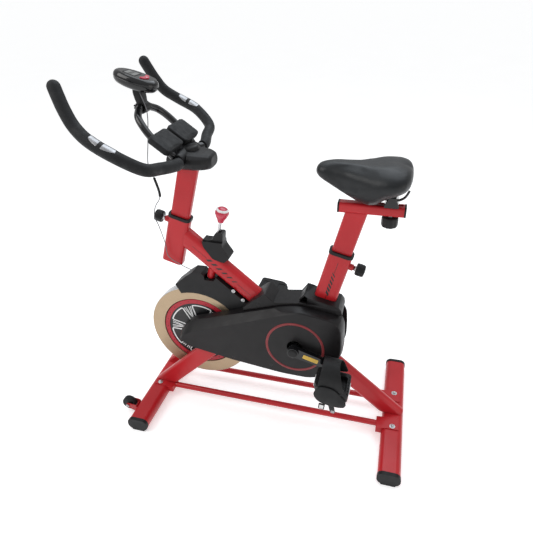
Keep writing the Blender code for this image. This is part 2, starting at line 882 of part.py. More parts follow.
def make_crank_arm(side, word):
    """Forged arm with the pedal spindle screwed into its end."""
    end = crank_end(side)
    matrix = along(CRANK + Vector((0, side * CRANK_ARM_Y, 0)), (0, 1, 0))
    flat = matrix.inverted()
    tip = flat @ (end + Vector((0, side * CRANK_ARM_Y, 0)))
    angle = math.degrees(math.atan2(tip.y, tip.x))
    outline = arc((0, 0), 0.019, angle + 80, angle + 280, 8)
    outline += arc((tip.x, tip.y), 0.0135, angle - 84, angle + 84, 6)
    arm = prism(word + "_crank_arm", [outline], 0.014, matrix)
    inner_y = side * (CRANK_ARM_Y - 0.013)
    outer_y = side * (CRANK_ARM_Y + 0.013)
    join(arm, cylinder("hub", CRANK + Vector((0, inner_y, 0)), CRANK + Vector((0, outer_y, 0)), 0.0185, 20))
    bore_end = side * (0.088 + GAP)
    bore_start = CRANK + Vector((0, side * 0.05, 0))
    cut(arm, cylinder("bore", bore_start, CRANK + Vector((0, bore_end, 0)), 0.0088, 16))
    start = end + Vector((0, side * (CRANK_ARM_Y + 0.002), 0))
    join(arm, cylinder("collar", start, end + Vector((0, side * (PEDAL_INNER_Y - 0.001), 0)), 0.010, 16))
    join(arm, cylinder("spindle", start, end + Vector((0, side * (PEDAL_OUTER_Y - 0.012), 0)), 0.006, 12))
    finish(arm, "black_plastic")


def pedal_matrix(side):
    """Frame of a pedal: X along the sole, Y world Y, Z up from the sole; the raised one hangs upside down."""
    turn = PEDAL_TILT if side < 0 else PEDAL_TILT + math.pi
    return Matrix.Translation(crank_end(side)) @ Matrix.Rotation(turn, 4, "Y")


def make_pedal(side, word):
    """Platform pedal, open between its rails, and a broad strap arching over the foot."""
    matrix = pedal_matrix(side)
    inner = side * PEDAL_INNER_Y
    outer = side * PEDAL_OUTER_Y
    sole = [(-0.055, inner), (0.050, inner), (0.050, outer), (-0.034, outer), (-0.055, outer - side * 0.03)]
    core = rounded_outline(sole, 0.012, 3)
    windows = []
    for x_low, x_high in ((-0.041, -0.015), (0.015, 0.040)):
        y_low, y_high = sorted((inner + side * 0.016, outer - side * 0.020))
        box = [(x_low, y_low), (x_high, y_low), (x_high, y_high), (x_low, y_high)]
        windows.append(rounded_outline(box, 0.004, 1))
    body = prism(word + "_pedal", [core, *windows], 0.024, matrix)
    end = crank_end(side)
    bore_end = end + Vector((0, side * (PEDAL_OUTER_Y - 0.012 + 0.001), 0))
    cut(body, cylinder("pedal_bore", end, bore_end, 0.0063, 12))
    finish(body, "black_plastic")
    make_strap(side, word, matrix)


def make_strap(side, word, matrix):
    """Strap arching from the inner edge of the pedal to the outer edge, widest at its feet."""
    middle = (PEDAL_INNER_Y + PEDAL_OUTER_Y) / 2
    reach = (PEDAL_OUTER_Y - PEDAL_INNER_Y) / 2 - 0.002
    sections = []
    for i in range(STRAP_STEPS + 1):
        angle = math.pi * i / STRAP_STEPS
        y = middle - reach * math.cos(angle)
        z = STRAP_FOOT + STRAP_RISE * math.sin(angle) ** 0.8
        narrow = math.sin(angle) ** 0.7
        half = 0.046 - 0.020 * narrow
        shift = -0.016 * narrow
        slope = Vector((reach * math.sin(angle), STRAP_RISE * math.cos(angle))).normalized()
        normal = Vector((-slope.y, slope.x)) * STRAP_THICKNESS
        if i in (0, STRAP_STEPS):
            normal = Vector((-1.0 if i == 0 else 1.0, 0.0)) * STRAP_THICKNESS
        inner = (side * y, z)
        outer = (side * (y + normal.x), z + normal.y)
        sections.append(
            [
                matrix @ Vector((shift - half, *inner)),
                matrix @ Vector((shift + half, *inner)),
                matrix @ Vector((shift + half, *outer)),
                matrix @ Vector((shift - half, *outer)),
            ]
        )
    strap = loft(word + "_pedal_strap", sections)
    finish(strap, "rubber")


# ---------------------------------------------------------------- covers


def make_side_cover(side, word, face_y, rim_y):
    """Shell of one side, open towards the wheel, with a sloping band round its face."""
    face = rounded_outline(FACE_CORNERS, 0.020, 3)
    rim = rounded_outline(RIM_CORNERS, 0.020, 3)
    sections = [
        side_section(grown(face, -0.003), side * face_y),
        side_section(face, side * (face_y - 0.003)),
        side_section(rim, side * rim_y),
        side_section(rim, side * COVER_INNER_Y),
    ]
    inner = [
        side_section(grown(face, -COVER_WALL - 0.002), side * (face_y - COVER_WALL)),
        side_section(grown(face, -COVER_WALL), side * (face_y - COVER_WALL - 0.002)),
        side_section(grown(rim, -COVER_WALL), side * rim_y),
        side_section(grown(rim, -COVER_WALL), side * (COVER_INNER_Y - 0.01)),
    ]
    shell = loft(word + "_cover", sections)
    cut(shell, loft("hollow", inner))
    slope = math.atan(BLADE_SLOPE)
    middle = Vector((-0.20, side * (BLADE_INNER_Y + BLADE_THICKNESS / 2), blade_z(-0.20)))
    run = Vector((math.cos(slope), 0, math.sin(slope)))
    notch = [rounded_box(BLADE_DEPTH + 0.006, BLADE_THICKNESS + 0.006, 0.010)]
    cut(shell, bar_between("blade_notch", middle - run * 0.3, middle + run * 0.05, notch))
    low, high = sorted((side * (face_y - 0.01), side * (face_y + 0.01)))
    plate_slot = [(-0.275, 0.240), (-0.205, 0.240), (-0.205, 0.266), (-0.275, 0.266)]
    y_low, y_high = sorted((side * 0.0450, side * 0.0530))
    cut(shell, side_plate("plate_slot", [plate_slot], y_low, y_high))
    holes = [(CRANK, 0.026)]
    if side > 0:
        holes += [(CROSS_TUBE, 0.0125), (WHEEL, 0.012)]
    for centre, radius in holes:
        cut(shell, side_plate("hole", [circle(radius, 20, (centre.x, centre.z))], low, high))
    finish(shell, "black_plastic")


def make_top_cover():
    """Cap over the beam and round the foot of the seat tube, open below in the middle."""
    near, far = -0.046, 0.034
    floor = [(0.2515, 0.4512), (0.1265, 0.4716), (0.0670, 0.4606), (-0.060, 0.4172)]
    roof = [
        (-0.062, 0.430),
        (-0.025, 0.464),
        (0.004, 0.489),
        (0.014, 0.494),
        (0.043, 0.4665),
        (0.119, 0.4775),
        (0.137, 0.505),
        (0.247, 0.480),
        (0.256, 0.468),
        (0.259, 0.4512),
    ]
    block = side_plate("top_cover", [roof + floor], near, far)
    corner = 0.018
    for y, side in ((near, -1), (far, 1)):
        wedge = prism(
            "corner_cut",
            [[(0.05, y), (0.137 + corner, y), (0.119, y - side * corner), (0.05, y - side * corner)]],
            0.2,
            Matrix.Translation((0, 0, 0.5790)),
        )
        cut(block, wedge)
    soften(block, 0.004, 1, 50.0)
    ceiling = [
        (-0.022, 0.4620),
        (0.013, 0.488),
        (0.042, 0.4622),
        (0.121, 0.4744),
        (0.139, 0.5015),
        (0.242, 0.478),
    ]
    ground = [(0.240, 0.4560), (0.1265, 0.4745), (0.0670, 0.4634), (-0.050, 0.4240)]
    cut(block, side_plate("hollow", [ceiling + ground], near + 0.003, far - 0.003))
    slot = [(0.240, 0.40), (-0.10, 0.36), (-0.10, 0.440), (0.067, 0.466), (0.126, 0.477), (0.240, 0.459)]
    cut(block, side_plate("floor_slot", [slot], -0.0262, 0.0262))
    cut(block, beam_envelope(0.0012))
    seat = bar_between(
        "seat_cope",
        on_axis(SEAT_BASE, SEAT_LEAN, 0.38),
        on_axis(SEAT_BASE, SEAT_LEAN, 0.58),
        [sleeve_outer(0.0012)],
    )
    cut(block, seat)
    finish(block, "black_plastic")


def fender_outline(inset):
    """Upper and rear edges of the wheel guard's side view, moved inwards by the inset."""
    top = [(-0.305, 0.470), (-0.262, 0.508), (-0.238, 0.526), (-0.207, 0.527), (-0.198, 0.517)]
    notch = [(-0.196, 0.502), (-0.166, 0.502)]
    under = [(x, beam_z(x) - 0.0425) for x in (-0.155, -0.100, -0.052)]
    rear = [(-0.048, 0.400)]
    outline = [*top, *notch, *under, *rear]
    if inset:
        outline = [(x + 0.15 * inset, z - inset) for x, z in outline]
    return outline


def make_fender():
    """Wheel guard under the beam: a roof and two cheeks, open towards the wheel."""
    half = FENDER_HALF_WIDTH
    centre = (WHEEL.x, WHEEL.z)
    cheeks = [*arc(centre, 0.166, 30, 108, 10), *fender_outline(0)]
    inside = [*arc(centre, FENDER_RADIUS - 0.03, 24, 108, 12), *fender_outline(0.003)]
    block = side_plate("fender", [cheeks], -half, half)
    cut(block, side_plate("hollow", [inside], 0.0025 - half, half - 0.0025))
    cut(block, cylinder("guide_clear", brake_point(0.20), brake_point(0.30), BRAKE_GUIDE_RADIUS + 0.0015, 20))
    finish(block, "black_plastic")


def make_brake_housing():
    """Finned boot that sits astride the beam and carries the brake rod."""
    outline = [
        (-0.194, 0.651),
        (-0.178, 0.645),
        (-0.157, 0.652),
        (-0.152, 0.673),
        (-0.124, 0.676),
        (-0.128, 0.632),
        (-0.103, 0.594),
        (-0.126, 0.574),
        (-0.163, 0.585),
        (-0.192, 0.627),
    ]
    boot = side_plate("brake_housing", [rounded_outline(outline, 0.007, 2)], -0.0225, 0.0225)
    slim = [(-0.30, 0.644), (0.0, 0.644), (0.0, 0.75), (-0.30, 0.75)]
    for side in (-1, 1):
        low, high = sorted((side * 0.0155, side * 0.04))
        cut(boot, side_plate("neck_cut", [slim], low, high))
    soften(boot, 0.004, 1, 50.0)
    cut(boot, beam_envelope(GAP))
    guide_top = brake_point(BRAKE_GUIDE_HIGH + 0.001)
    cut(boot, cylinder("guide_clear", brake_point(0.28), guide_top, BRAKE_GUIDE_RADIUS + GAP, 20))
    cut(boot, cylinder("rod_clear", brake_point(0.30), brake_point(0.45), 0.0095, 16))
    finish(boot, "black_plastic")


# ---------------------------------------------------------------- brake


def make_brake():
    axis = lean(BRAKE_LEAN)
    pad_low = WHEEL_RADIUS + PAD_GAP
    shoe = bar_between(
        "brake_shoe", brake_point(pad_low), brake_point(pad_low + 0.012), [rounded_box(0.052, 0.024, 0.004)]
    )
    reach = Vector((0, 0.05, 0))
    cut(shoe, cylinder("wheel_form", WHEEL - reach, WHEEL + reach, pad_low + 0.0002, 96))
    stem = cylinder("stem", brake_point(pad_low + 0.008), brake_point(0.290), 0.0085, 16)
    join(shoe, stem)
    cut(shoe, cylinder("thread", brake_point(0.262), brake_point(0.33), 0.0053, 12))
    finish(shoe, "felt")
    rod_top = 0.441
    rod_piece = cylinder("brake_rod", brake_point(0.264), brake_point(rod_top + 0.02), 0.005, 12)
    finish(rod_piece, "steel")
    knob = turned(
        "brake_knob",
        [
            (0, 0.049),
            (0.011, 0.048),
            (0.018, 0.043),
            (0.0218, 0.035),
            (0.0218, 0.029),
            (0.018, 0.019),
            (0.012, 0.008),
            (0.0095, 0.0),
            (0.0053, 0.0),
            (0.0053, 0.0213),
            (0, 0.0213),
        ],
        along(brake_point(rod_top), axis),
        24,
    )
    finish(knob, "red_plastic")


# ---------------------------------------------------------------- handlebar


def make_bar_post():
    """Handlebar post with the half-round cradle welded on its top."""
    top_z = 0.902
    post = bar_between(
        "bar_post",
        on_axis(HEAD_BASE, HEAD_LEAN, 0.575),
        on_axis(HEAD_BASE, HEAD_LEAN, top_z),
        [post_outer(), post_outer(-0.002)],
    )
    half = Vector((0, 0.030, 0))
    block = cylinder("cradle", CLAMP_CENTRE - half, CLAMP_CENTRE + half, 0.0185, 20)
    join(post, block)
    reach = Vector((0, 0.05, 0))
    cut(post, cylinder("cradle_bore", CLAMP_CENTRE - reach, CLAMP_CENTRE + reach, BAR_RADIUS + GAP, 20))
    finish(post, "red_paint")


def bar_path(side):
    """Route of one half of the handlebar, from the clamp out to the grip's end."""
    points = [
        (CLAMP_CENTRE.x, 0.060, CLAMP_CENTRE.z),
        (-0.208, 0.099, 0.915),
        (-0.225, 0.165, 0.925),
        (-0.238, 0.224, 0.942),
        (-0.292, 0.257, 0.982),
        (-0.352, 0.256, 1.014),
        (-0.393, 0.244, 1.043),
        (-0.416, 0.236, 1.077),
        (-0.432, 0.228, 1.110),
        (-0.446, 0.220, 1.1435),
    ]
    return [Vector((x, side * y, z)) for x, y, z in points]


def handlebar_path():
    left = smooth_path(bar_path(-1), 3)[:-2]
    right = smooth_path(bar_path(1), 3)[:-2]
    return [*reversed(left), *right]


def make_handlebar():
    """Bent tube in one piece, with a foam sleeve on each half."""
    bar = rod("handlebar", handlebar_path(), BAR_RADIUS, 2)
    finish(bar, "gloss_black")
    for side, word in ((-1, "left"), (1, "right")):
        path = smooth_path(bar_path(side), 3)
        grip = rod(word + "_grip", path[2:], GRIP_RADIUS, 2)
        route = handlebar_path()
        route[0] += (route[0] - route[1]).normalized() * 0.0005
        route[-1] += (route[-1] - route[-2]).normalized() * 0.0005
        core = rod("core", route, BAR_RADIUS + GAP * 2, 2)
        cut(grip, core)
        finish(grip, "foam")


def make_centre_shroud():
    """Rounded plastic cover over the clamp, with a nose towards the rider."""
    steps = 16
    spans = [
        (-0.275, 0.030, 0.900, 0.012),
        (-0.268, 0.044, 0.901, 0.020),
        (-0.245, 0.056, 0.904, 0.027),
        (-0.215, 0.060, 0.905, 0.028),
        (-0.185, 0.058, 0.903, 0.027),
        (-0.160, 0.050, 0.902, 0.025),
        (-0.144, 0.038, 0.901, 0.021),
        (-0.138, 0.026, 0.901, 0.015),
    ]
    sections = []
    for x, half_width, z, half_height in spans:
        section = []
        for i in range(steps):
            angle = 2 * math.pi * i / steps
            c, s = math.cos(angle), math.sin(angle)
            section.append(
                Vector(
                    (
                        x,
                        half_width * math.copysign(abs(c) ** 0.7, c),
                        z + half_height * math.copysign(abs(s) ** 0.8, s),
                    )
                )
            )
        sections.append(section)
    shroud = loft("centre_shroud", sections)
    reach = Vector((0, 0.1, 0))
    cut(shroud, cylinder("bar_clear", CLAMP_CENTRE - reach, CLAMP_CENTRE + reach, 0.0195, 20))
    post = bar_between(
        "post_clear",
        on_axis(HEAD_BASE, HEAD_LEAN, 0.84),
        on_axis(HEAD_BASE, HEAD_LEAN, 0.915),
        [post_outer(0.0008)],
    )
    cut(shroud, post)
    finish(shroud, "black_plastic")


def loop_path():
    """Loop bar: forwards from the handlebar on one side, round the top and back on the other."""
    half = [
        (CLAMP_CENTRE.x, 0.066, CLAMP_CENTRE.z),
        (-0.240, 0.069, 0.937),
        (-0.263, 0.075, 0.960),
        (-0.286, 0.078, 0.9815),
        (-0.309, 0.0712, 1.006),
        (-0.3265, 0.058, 1.024),
        (-0.336, 0.038, 1.034),
        (LOOP_TOP.x, 0.0175, LOOP_TOP.z),
    ]
    right = [Vector(p) for p in half]
    left = [Vector((x, -y, z)) for x, y, z in reversed(half)]
    return smooth_path([*right, *left], 2)


def make_loop_and_pads():
    """Loop bar welded to the handlebar at both ends, with a pad on each leg."""
    loop = rod("aero_loop", loop_path(), LOOP_RADIUS, 2)
    cut(loop, rod("bar_clear", handlebar_path(), BAR_RADIUS + GAP, 2))
    finish(loop, "gloss_black")
    down = Vector((math.cos(PAD_SLOPE), 0, -math.sin(PAD_SLOPE)))
    up = Vector((math.sin(PAD_SLOPE), 0, math.cos(PAD_SLOPE)))
    front = Vector((-0.277, 0, 0.992))
    for side, word in ((-1, "left"), (1, "right")):
        centre = front + down * (PAD_LENGTH / 2) - up * (PAD_THICKNESS / 2) + Vector((0, side * 0.056, 0))
        matrix = frame_from(centre, down, Vector((0, 1, 0)), up)
        outline = rounded_box(PAD_LENGTH, PAD_HALF_WIDTH * 2, 0.012)
        pad = prism(word + "_elbow_pad", [outline], PAD_THICKNESS, matrix)
        soften(pad, 0.004, 1, 60.0)
        groove = rod("groove", loop_path(), LOOP_RADIUS + GAP * 2, 2)
        cut(pad, groove)
        finish(pad, "foam")


def console_matrix():
    down = Vector((math.cos(CONSOLE_SLOPE), 0, -math.sin(CONSOLE_SLOPE)))
    up = Vector((math.sin(CONSOLE_SLOPE), 0, math.cos(CONSOLE_SLOPE)))
    return frame_from(CONSOLE_CENTRE, down, Vector((0, 1, 0)), up)


def make_console():
    """Oval display unit on a clip that turns on the top of the loop."""
    matrix = console_matrix()
    steps = 24
    levels = [(-0.017, 0.72), (-0.012, 0.93), (0.0, 1.0), (0.008, 0.97), (0.0145, 0.84), (0.016, 0.70)]
    sections = []
    for height, scale in levels:
        section = []
        for x, y in circle(1.0, steps):
            section.append(matrix @ Vector((0.061 * scale * x, 0.034 * scale * y, height)))
        sections.append(section)
    body = loft("console", sections)
    pivot = LOOP_TOP
    stem = matrix @ Vector((0.006, 0, -0.014))
    neck = rounded_box(0.026, 0.022, 0.006, 2)
    join(body, bar_between("stem", pivot + Vector((0, 0, 0.004)), stem, [neck]))
    join(body, cylinder("clip", pivot - Vector((0, 0.011, 0)), pivot + Vector((0, 0.011, 0)), 0.0155, 20))
    reach = Vector((0, 0.02, 0))
    cut(body, cylinder("clip_bore", pivot - reach, pivot + reach, LOOP_RADIUS + 0.0018, 16))
    button = [(0.018, -0.020), (0.030, -0.017), (0.038, 0.0), (0.030, 0.017), (0.018, 0.020), (0.024, 0.0)]
    shape = rounded_outline(button, 0.004, 2)
    top = matrix @ Matrix.Translation((0, 0, 0.0146))
    cut(body, prism("button_well", [grown(shape, 0.0005)], 0.009, top))
    finish(body, "black_plastic")
    key = prism("console_button", [shape], 0.0045, matrix @ Matrix.Translation((0, 0, 0.0152)))
    finish(key, "red_plastic")


# ---------------------------------------------------------------- seat


def rail_matrix(x_shift=0.0):
    """Frame of the rail tube: Z runs rearwards along it."""
    centre = RAIL_TUBE_CENTRE + Vector((x_shift, 0, 0))
    return frame_from(centre, (0, 0, -1), (0, 1, 0), (1, 0, 0))


def make_seat_post():
    """Seat post with the horizontal rail tube welded across its top, slotted for the clamp stud."""
    bottom_z = RAIL_TUBE_CENTRE.z - RAIL_TUBE_HEIGHT / 2
    post = bar_between(
        "seat_post",
        on_axis(SEAT_BASE, SEAT_LEAN, 0.500),
        on_axis(SEAT_BASE, SEAT_LEAN, bottom_z + 0.010),
        [post_outer(), post_outer(-0.002)],
    )
    level = bottom_z + 0.001
    above = [(0.1, level), (0.5, level), (0.5, 0.9), (0.1, 0.9)]
    cut(post, side_plate("level", [above], -0.1, 0.1))
    outer = rounded_box(RAIL_TUBE_HEIGHT, RAIL_TUBE_WIDTH, 0.008)
    inner = rounded_box(RAIL_TUBE_HEIGHT - 0.005, RAIL_TUBE_WIDTH - 0.005, 0.0055)
    tube = prism("rail_tube", [outer, inner], RAIL_TUBE_LENGTH, rail_matrix())
    join(post, tube)
    slot_centre = Vector((SADDLE_CLAMP_X - 0.003, 0, RAIL_TUBE_CENTRE.z))
    slot = rounded_box(0.072, 0.0110, 0.0052)
    cut(post, prism("stud_slot", [slot], 0.06, Matrix.Translation(slot_centre)))
    finish(post, "red_paint")


def make_rail_caps():
    for side, word in ((-1, "front"), (1, "rear")):
        shift = side * (RAIL_TUBE_LENGTH / 2 + 0.0025 + GAP)
        cap = prism(
            word + "_rail_cap",
            [rounded_box(RAIL_TUBE_HEIGHT + 0.001, RAIL_TUBE_WIDTH + 0.001, 0.0085)],
            0.005,
            rail_matrix(shift),
        )
        finish(cap, "black_plastic")


def make_saddle_clamp():
    """Clamp that grips the saddle rails, with a stud down through the rail tube."""
    top = RAIL_TUBE_CENTRE.z + RAIL_TUBE_HEIGHT / 2
    x = SADDLE_CLAMP_X
    base = [
        (x - 0.020, top + GAP),
        (x + 0.020, top + GAP),
        (x + 0.018, top + 0.010),
        (x + 0.010, RAIL_Z + 0.008),
        (x - 0.010, RAIL_Z + 0.008),
        (x - 0.018, top + 0.010),
    ]
    clamp = side_plate("saddle_clamp", [base], -0.0285, 0.0285)
    soften(clamp, 0.002, 1)
    stud_low = RAIL_TUBE_CENTRE.z - RAIL_TUBE_HEIGHT / 2 - 0.018
    join(clamp, cylinder("stud", (x, 0, stud_low), (x, 0, top + 0.006), 0.004, 12))
    for side in (-1, 1):
        y = side * RAIL_Y
        cut(clamp, cylinder("rail_seat", (x - 0.05, y, RAIL_Z), (x + 0.05, y, RAIL_Z), 0.0035 + 2 * GAP, 12))
    finish(clamp, "steel")


def rail_path():
    """Route of the saddle rail, a loop with two straight runs and raised rear ends."""
    half = [
        (0.404, 0.050, 0.872),
        (0.397, 0.036, 0.850),
        (0.386, 0.023, 0.8365),
        (0.378, RAIL_Y, RAIL_Z),
        (0.348, RAIL_Y, RAIL_Z),
        (0.318, RAIL_Y, 0.8350),
        (0.292, 0.015, 0.8385),
    ]
    right = [Vector(p) for p in half]
    left = [Vector((x, -y, z)) for x, y, z in reversed(half)]
    return smooth_path([*right, Vector((0.283, 0.0, 0.8395)), *left], 2)


def make_saddle_rails():
    rails = rod("saddle_rails", rail_path(), 0.0035, 1)
    finish(rails, "steel")


def saddle_section(x, half, top, side_z, skirt, keel):
    """Ring of points round the saddle: domed top, upright skirt and a keel below."""
    upper = []
    for fraction in (0.0, 0.35, 0.68, 0.92):
        dish = 0.005 * (half / 0.1) * (1 - fraction)
        upper.append((fraction * half, side_z + (top - side_z) * math.sqrt(1 - fraction**2.6) - dish))
    lower = [
        (0.95 * half, skirt + 0.6 * (side_z - skirt)),
        (0.80 * half, skirt + 0.35 * (keel - skirt)),
        (0.45 * half, skirt + 0.82 * (keel - skirt)),
        (0.0, keel),
    ]
    right = [*upper, (half, side_z), *lower]
    left = [(-y, z) for y, z in reversed(right[1:-1])]
    return [Vector((x, y, z)) for y, z in [*right, *left]]


def make_saddle():
    """Padded saddle: a narrow nose that widens into two rear lobes, with a keel over the rails."""
    spans = [
        (0.1545, 0.010, 0.902, 0.898, 0.893, 0.891),
        (0.160, 0.024, 0.912, 0.898, 0.887, 0.884),
        (0.176, 0.034, 0.920, 0.898, 0.882, 0.874),
        (0.205, 0.040, 0.9235, 0.896, 0.878, 0.860),
        (0.240, 0.048, 0.924, 0.894, 0.872, 0.841),
        (0.275, 0.064, 0.9245, 0.892, 0.866, 0.823),
        (0.305, 0.084, 0.9265, 0.892, 0.860, 0.8165),
        (0.328, 0.096, 0.930, 0.893, 0.857, 0.824),
        (0.343, 0.101, 0.932, 0.894, 0.856, 0.846),
        (0.375, 0.103, 0.934, 0.896, 0.858, 0.857),
        (0.397, 0.092, 0.930, 0.898, 0.866, 0.866),
        (0.408, 0.066, 0.921, 0.900, 0.880, 0.880),
        (0.412, 0.030, 0.912, 0.902, 0.893, 0.893),
    ]
    cushion = loft("saddle", [saddle_section(*span) for span in spans])
    cut(cushion, rod("rail_clear", rail_path(), 0.0035 + GAP, 1))
    finish(cushion, "vinyl", 80.0)


# ---------------------------------------------------------------- knobs


def make_lobed_knob(name, origin, direction, radius, height, stem_radius, stem_length, pin_reach=0.0):
    """Knob with shallow lobes round its rim, on a stem that runs back from its face."""
    matrix = along(origin, direction)
    lobes = 8
    steps = lobes * 4
    outline = []
    for i in range(steps):
        angle = 2 * math.pi * i / steps
        r = radius * (1 + 0.035 * math.cos(lobes * angle))
        outline.append((r * math.cos(angle), r * math.sin(angle)))
    head = prism(name, [outline], height, matrix @ Matrix.Translation((0, 0, height / 2)))
    soften(head, 0.003, 1, 60.0)
    away = Vector(direction).normalized()
    origin = Vector(origin)
    join(head, cylinder("stem", origin - away * stem_length, origin + away * 0.004, stem_radius, 12))
    if pin_reach:
        join(head, cylinder("pin", origin - away * pin_reach, origin, PIN_RADIUS, 10))
    return head


def make_pull_knob(name, base, axis_lean, knob_z, side):
    root = on_axis(base, axis_lean, knob_z)
    out = knob_direction(axis_lean, side)
    face = SLEEVE_DEPTH / 2 + 0.012 + 0.009
    origin = root + out * face
    tip = face - (POST_DEPTH / 2 + 0.0005)
    knob = make_lobed_knob(name, origin, out, 0.0190, 0.026, 0.0075, 0.0085, tip)
    finish(knob, "black_plastic")


def make_saddle_knob():
    bottom = RAIL_TUBE_CENTRE.z - RAIL_TUBE_HEIGHT / 2
    x = SADDLE_CLAMP_X
    knob = make_lobed_knob("saddle_knob", (x, 0, bottom - 0.004), (0, 0, -1), 0.0225, 0.030, 0.009, 0.0035)
    cut(knob, cylinder("stud_bore", (x, 0, bottom - 0.020), (x, 0, bottom + 0.01), 0.0043, 12))
    finish(knob, "black_plastic")


# ---------------------------------------------------------------- wire


def make_sensor_wire():
    """Lead from the console down the post and across the head tube to the flywheel's sensor."""
    route = [
        (-0.334, -0.019, 1.086),
        (-0.319, -0.020, 1.032),
        (-0.329, -0.021, 0.953),
        (-0.337, -0.026, 0.885),
        (-0.319, -0.034, 0.845),
        (-0.309, -0.034, 0.791),
        (-0.330, -0.034, 0.754),
        (-0.338, -0.034, 0.720),
        (-0.328, -0.034, 0.690),
        (-0.315, -0.033, 0.629),
        (-0.310, -0.032, 0.581),
        (-0.266, -0.030, 0.552),
        (-0.240, -0.020, 0.5325),
    ]
    wire = rod("sensor_wire", smooth_path(route, 3), 0.0018, 1)
    finish(wire, "rubber")


# ---------------------------------------------------------------- bodies


def make_body(name, location, members):
    """An empty on a moving body's axis, holding that body's pieces."""
    empty = bpy.data.objects.new(name + "_axis", None)
    PARTS.objects.link(empty)
    empty.location = location
    for member in members:
        obj = bpy.data.objects[member]
        obj.parent = empty
        obj.matrix_parent_inverse = Matrix.Translation(location).inverted()


def make_all():
    make_main_beam()
    make_head_tube()
    make_seat_tube()
    make_bushing("bar_post_bushing", HEAD_BASE, HEAD_LEAN, HEAD_COLLAR_Z, KNOB_ROOT_HEAD_Z, -1)
    make_bushing("seat_post_bushing", SEAT_BASE, SEAT_LEAN, SEAT_COLLAR_Z, KNOB_ROOT_SEAT_Z, 1)
    make_bottom_bracket()
    make_foot("front_foot", FRONT_FOOT_X)
    make_foot("rear_foot", REAR_FOOT_X)
    make_flywheel()
    make_wheel_axle()
    make_belt()
    make_crank()
    for side, word in ((-1, "left"), (1, "right")):
        make_fork_blade(word + "_fork_blade", side)
        make_side_bar(word + "_side_bar", side)
        make_caster(side, word)
        make_crank_arm(side, word)
        make_pedal(side, word)
    make_side_cover(-1, "left", 0.080, 0.056)
    make_side_cover(1, "right", 0.0400, 0.0330)
    make_top_cover()
    make_fender()
    make_brake_housing()
    make_brake()
    make_bar_post()
    make_handlebar()
    make_centre_shroud()
    make_loop_and_pads()
    make_console()
    make_seat_post()
    make_rail_caps()
    make_saddle_clamp()
    make_saddle_rails()
    make_saddle()
    make_pull_knob("bar_post_knob", HEAD_BASE, HEAD_LEAN, KNOB_ROOT_HEAD_Z, -1)
    make_pull_knob("seat_post_knob", SEAT_BASE, SEAT_LEAN, KNOB_ROOT_SEAT_Z, 1)
    make_saddle_knob()
    make_sensor_wire()


def make_bodies():
    """Groups the moving pieces, each group under an empty on its joint's axis."""
    caster_left = CASTER_AXLE + Vector((0, -CASTER_Y, 0))
    caster_right = CASTER_AXLE + Vector((0, CASTER_Y, 0))
    bar_pieces = ["bar_post", "handlebar", "left_grip", "right_grip", "centre_shroud", "aero_loop"]
    bar_pieces += ["left_elbow_pad", "right_elbow_pad", "sensor_wire"]
    make_body("flywheel", WHEEL, ["flywheel"])
    make_body("crank", CRANK, ["crank_axle", "left_crank_arm", "right_crank_arm", "drive_pulley"])
    make_body("left_pedal", crank_end(-1) - Vector((0, PEDAL_Y, 0)), ["left_pedal", "left_pedal_strap"])
    make_body("right_pedal", crank_end(1) + Vector((0, PEDAL_Y, 0)), ["right_pedal", "right_pedal_strap"])
    make_body("brake", brake_point(0.2), ["brake_shoe", "brake_rod", "brake_knob"])
    make_body("handlebar", HEAD_BASE, bar_pieces)
    make_body("console", LOOP_TOP, ["console", "console_button"])
    make_body("seat", SEAT_BASE, ["seat_post", "front_rail_cap", "rear_rail_cap"])
    make_body("saddle", RAIL_TUBE_CENTRE, ["saddle", "saddle_rails", "saddle_clamp", "saddle_knob"])
    make_body("bar_post_knob", HEAD_BASE, ["bar_post_knob"])
    make_body("seat_post_knob", SEAT_BASE, ["seat_post_knob"])
    make_body("left_transport_wheel", caster_left, ["left_transport_wheel"])
    make_body("right_transport_wheel", caster_right, ["right_transport_wheel"])


make_all()
make_bodies()
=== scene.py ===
"""Finished looks of the indoor spin bike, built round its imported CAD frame.

Metres, +Z up, in the frame's own coordinates: the bike faces -X and the rider's left is -Y.
Every new piece keeps its points in those coordinates, so its object stays at the origin.
"""

import json
import math

import bmesh
import bpy
from mathutils import Matrix, Vector


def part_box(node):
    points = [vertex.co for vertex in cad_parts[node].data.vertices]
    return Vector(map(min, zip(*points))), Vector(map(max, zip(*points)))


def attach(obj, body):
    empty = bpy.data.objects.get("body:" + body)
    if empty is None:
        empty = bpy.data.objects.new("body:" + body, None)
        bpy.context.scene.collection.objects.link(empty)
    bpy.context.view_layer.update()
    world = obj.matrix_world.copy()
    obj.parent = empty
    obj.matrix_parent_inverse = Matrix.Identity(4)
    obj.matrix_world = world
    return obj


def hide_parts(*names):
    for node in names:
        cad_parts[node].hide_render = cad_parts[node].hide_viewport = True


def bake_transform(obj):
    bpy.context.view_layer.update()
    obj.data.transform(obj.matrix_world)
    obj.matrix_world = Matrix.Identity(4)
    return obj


bpy.context.scene.view_settings.view_transform = "Standard"
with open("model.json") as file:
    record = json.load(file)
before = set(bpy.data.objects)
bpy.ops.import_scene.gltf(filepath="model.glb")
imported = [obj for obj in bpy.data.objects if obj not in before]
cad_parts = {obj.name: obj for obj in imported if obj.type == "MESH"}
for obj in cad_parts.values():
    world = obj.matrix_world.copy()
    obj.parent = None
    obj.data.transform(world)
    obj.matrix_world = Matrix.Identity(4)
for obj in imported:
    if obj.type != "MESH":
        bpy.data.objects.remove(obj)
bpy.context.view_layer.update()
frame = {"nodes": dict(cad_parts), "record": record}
NODES = frame["nodes"]

SIDES = ((-1, "left"), (1, "right"))

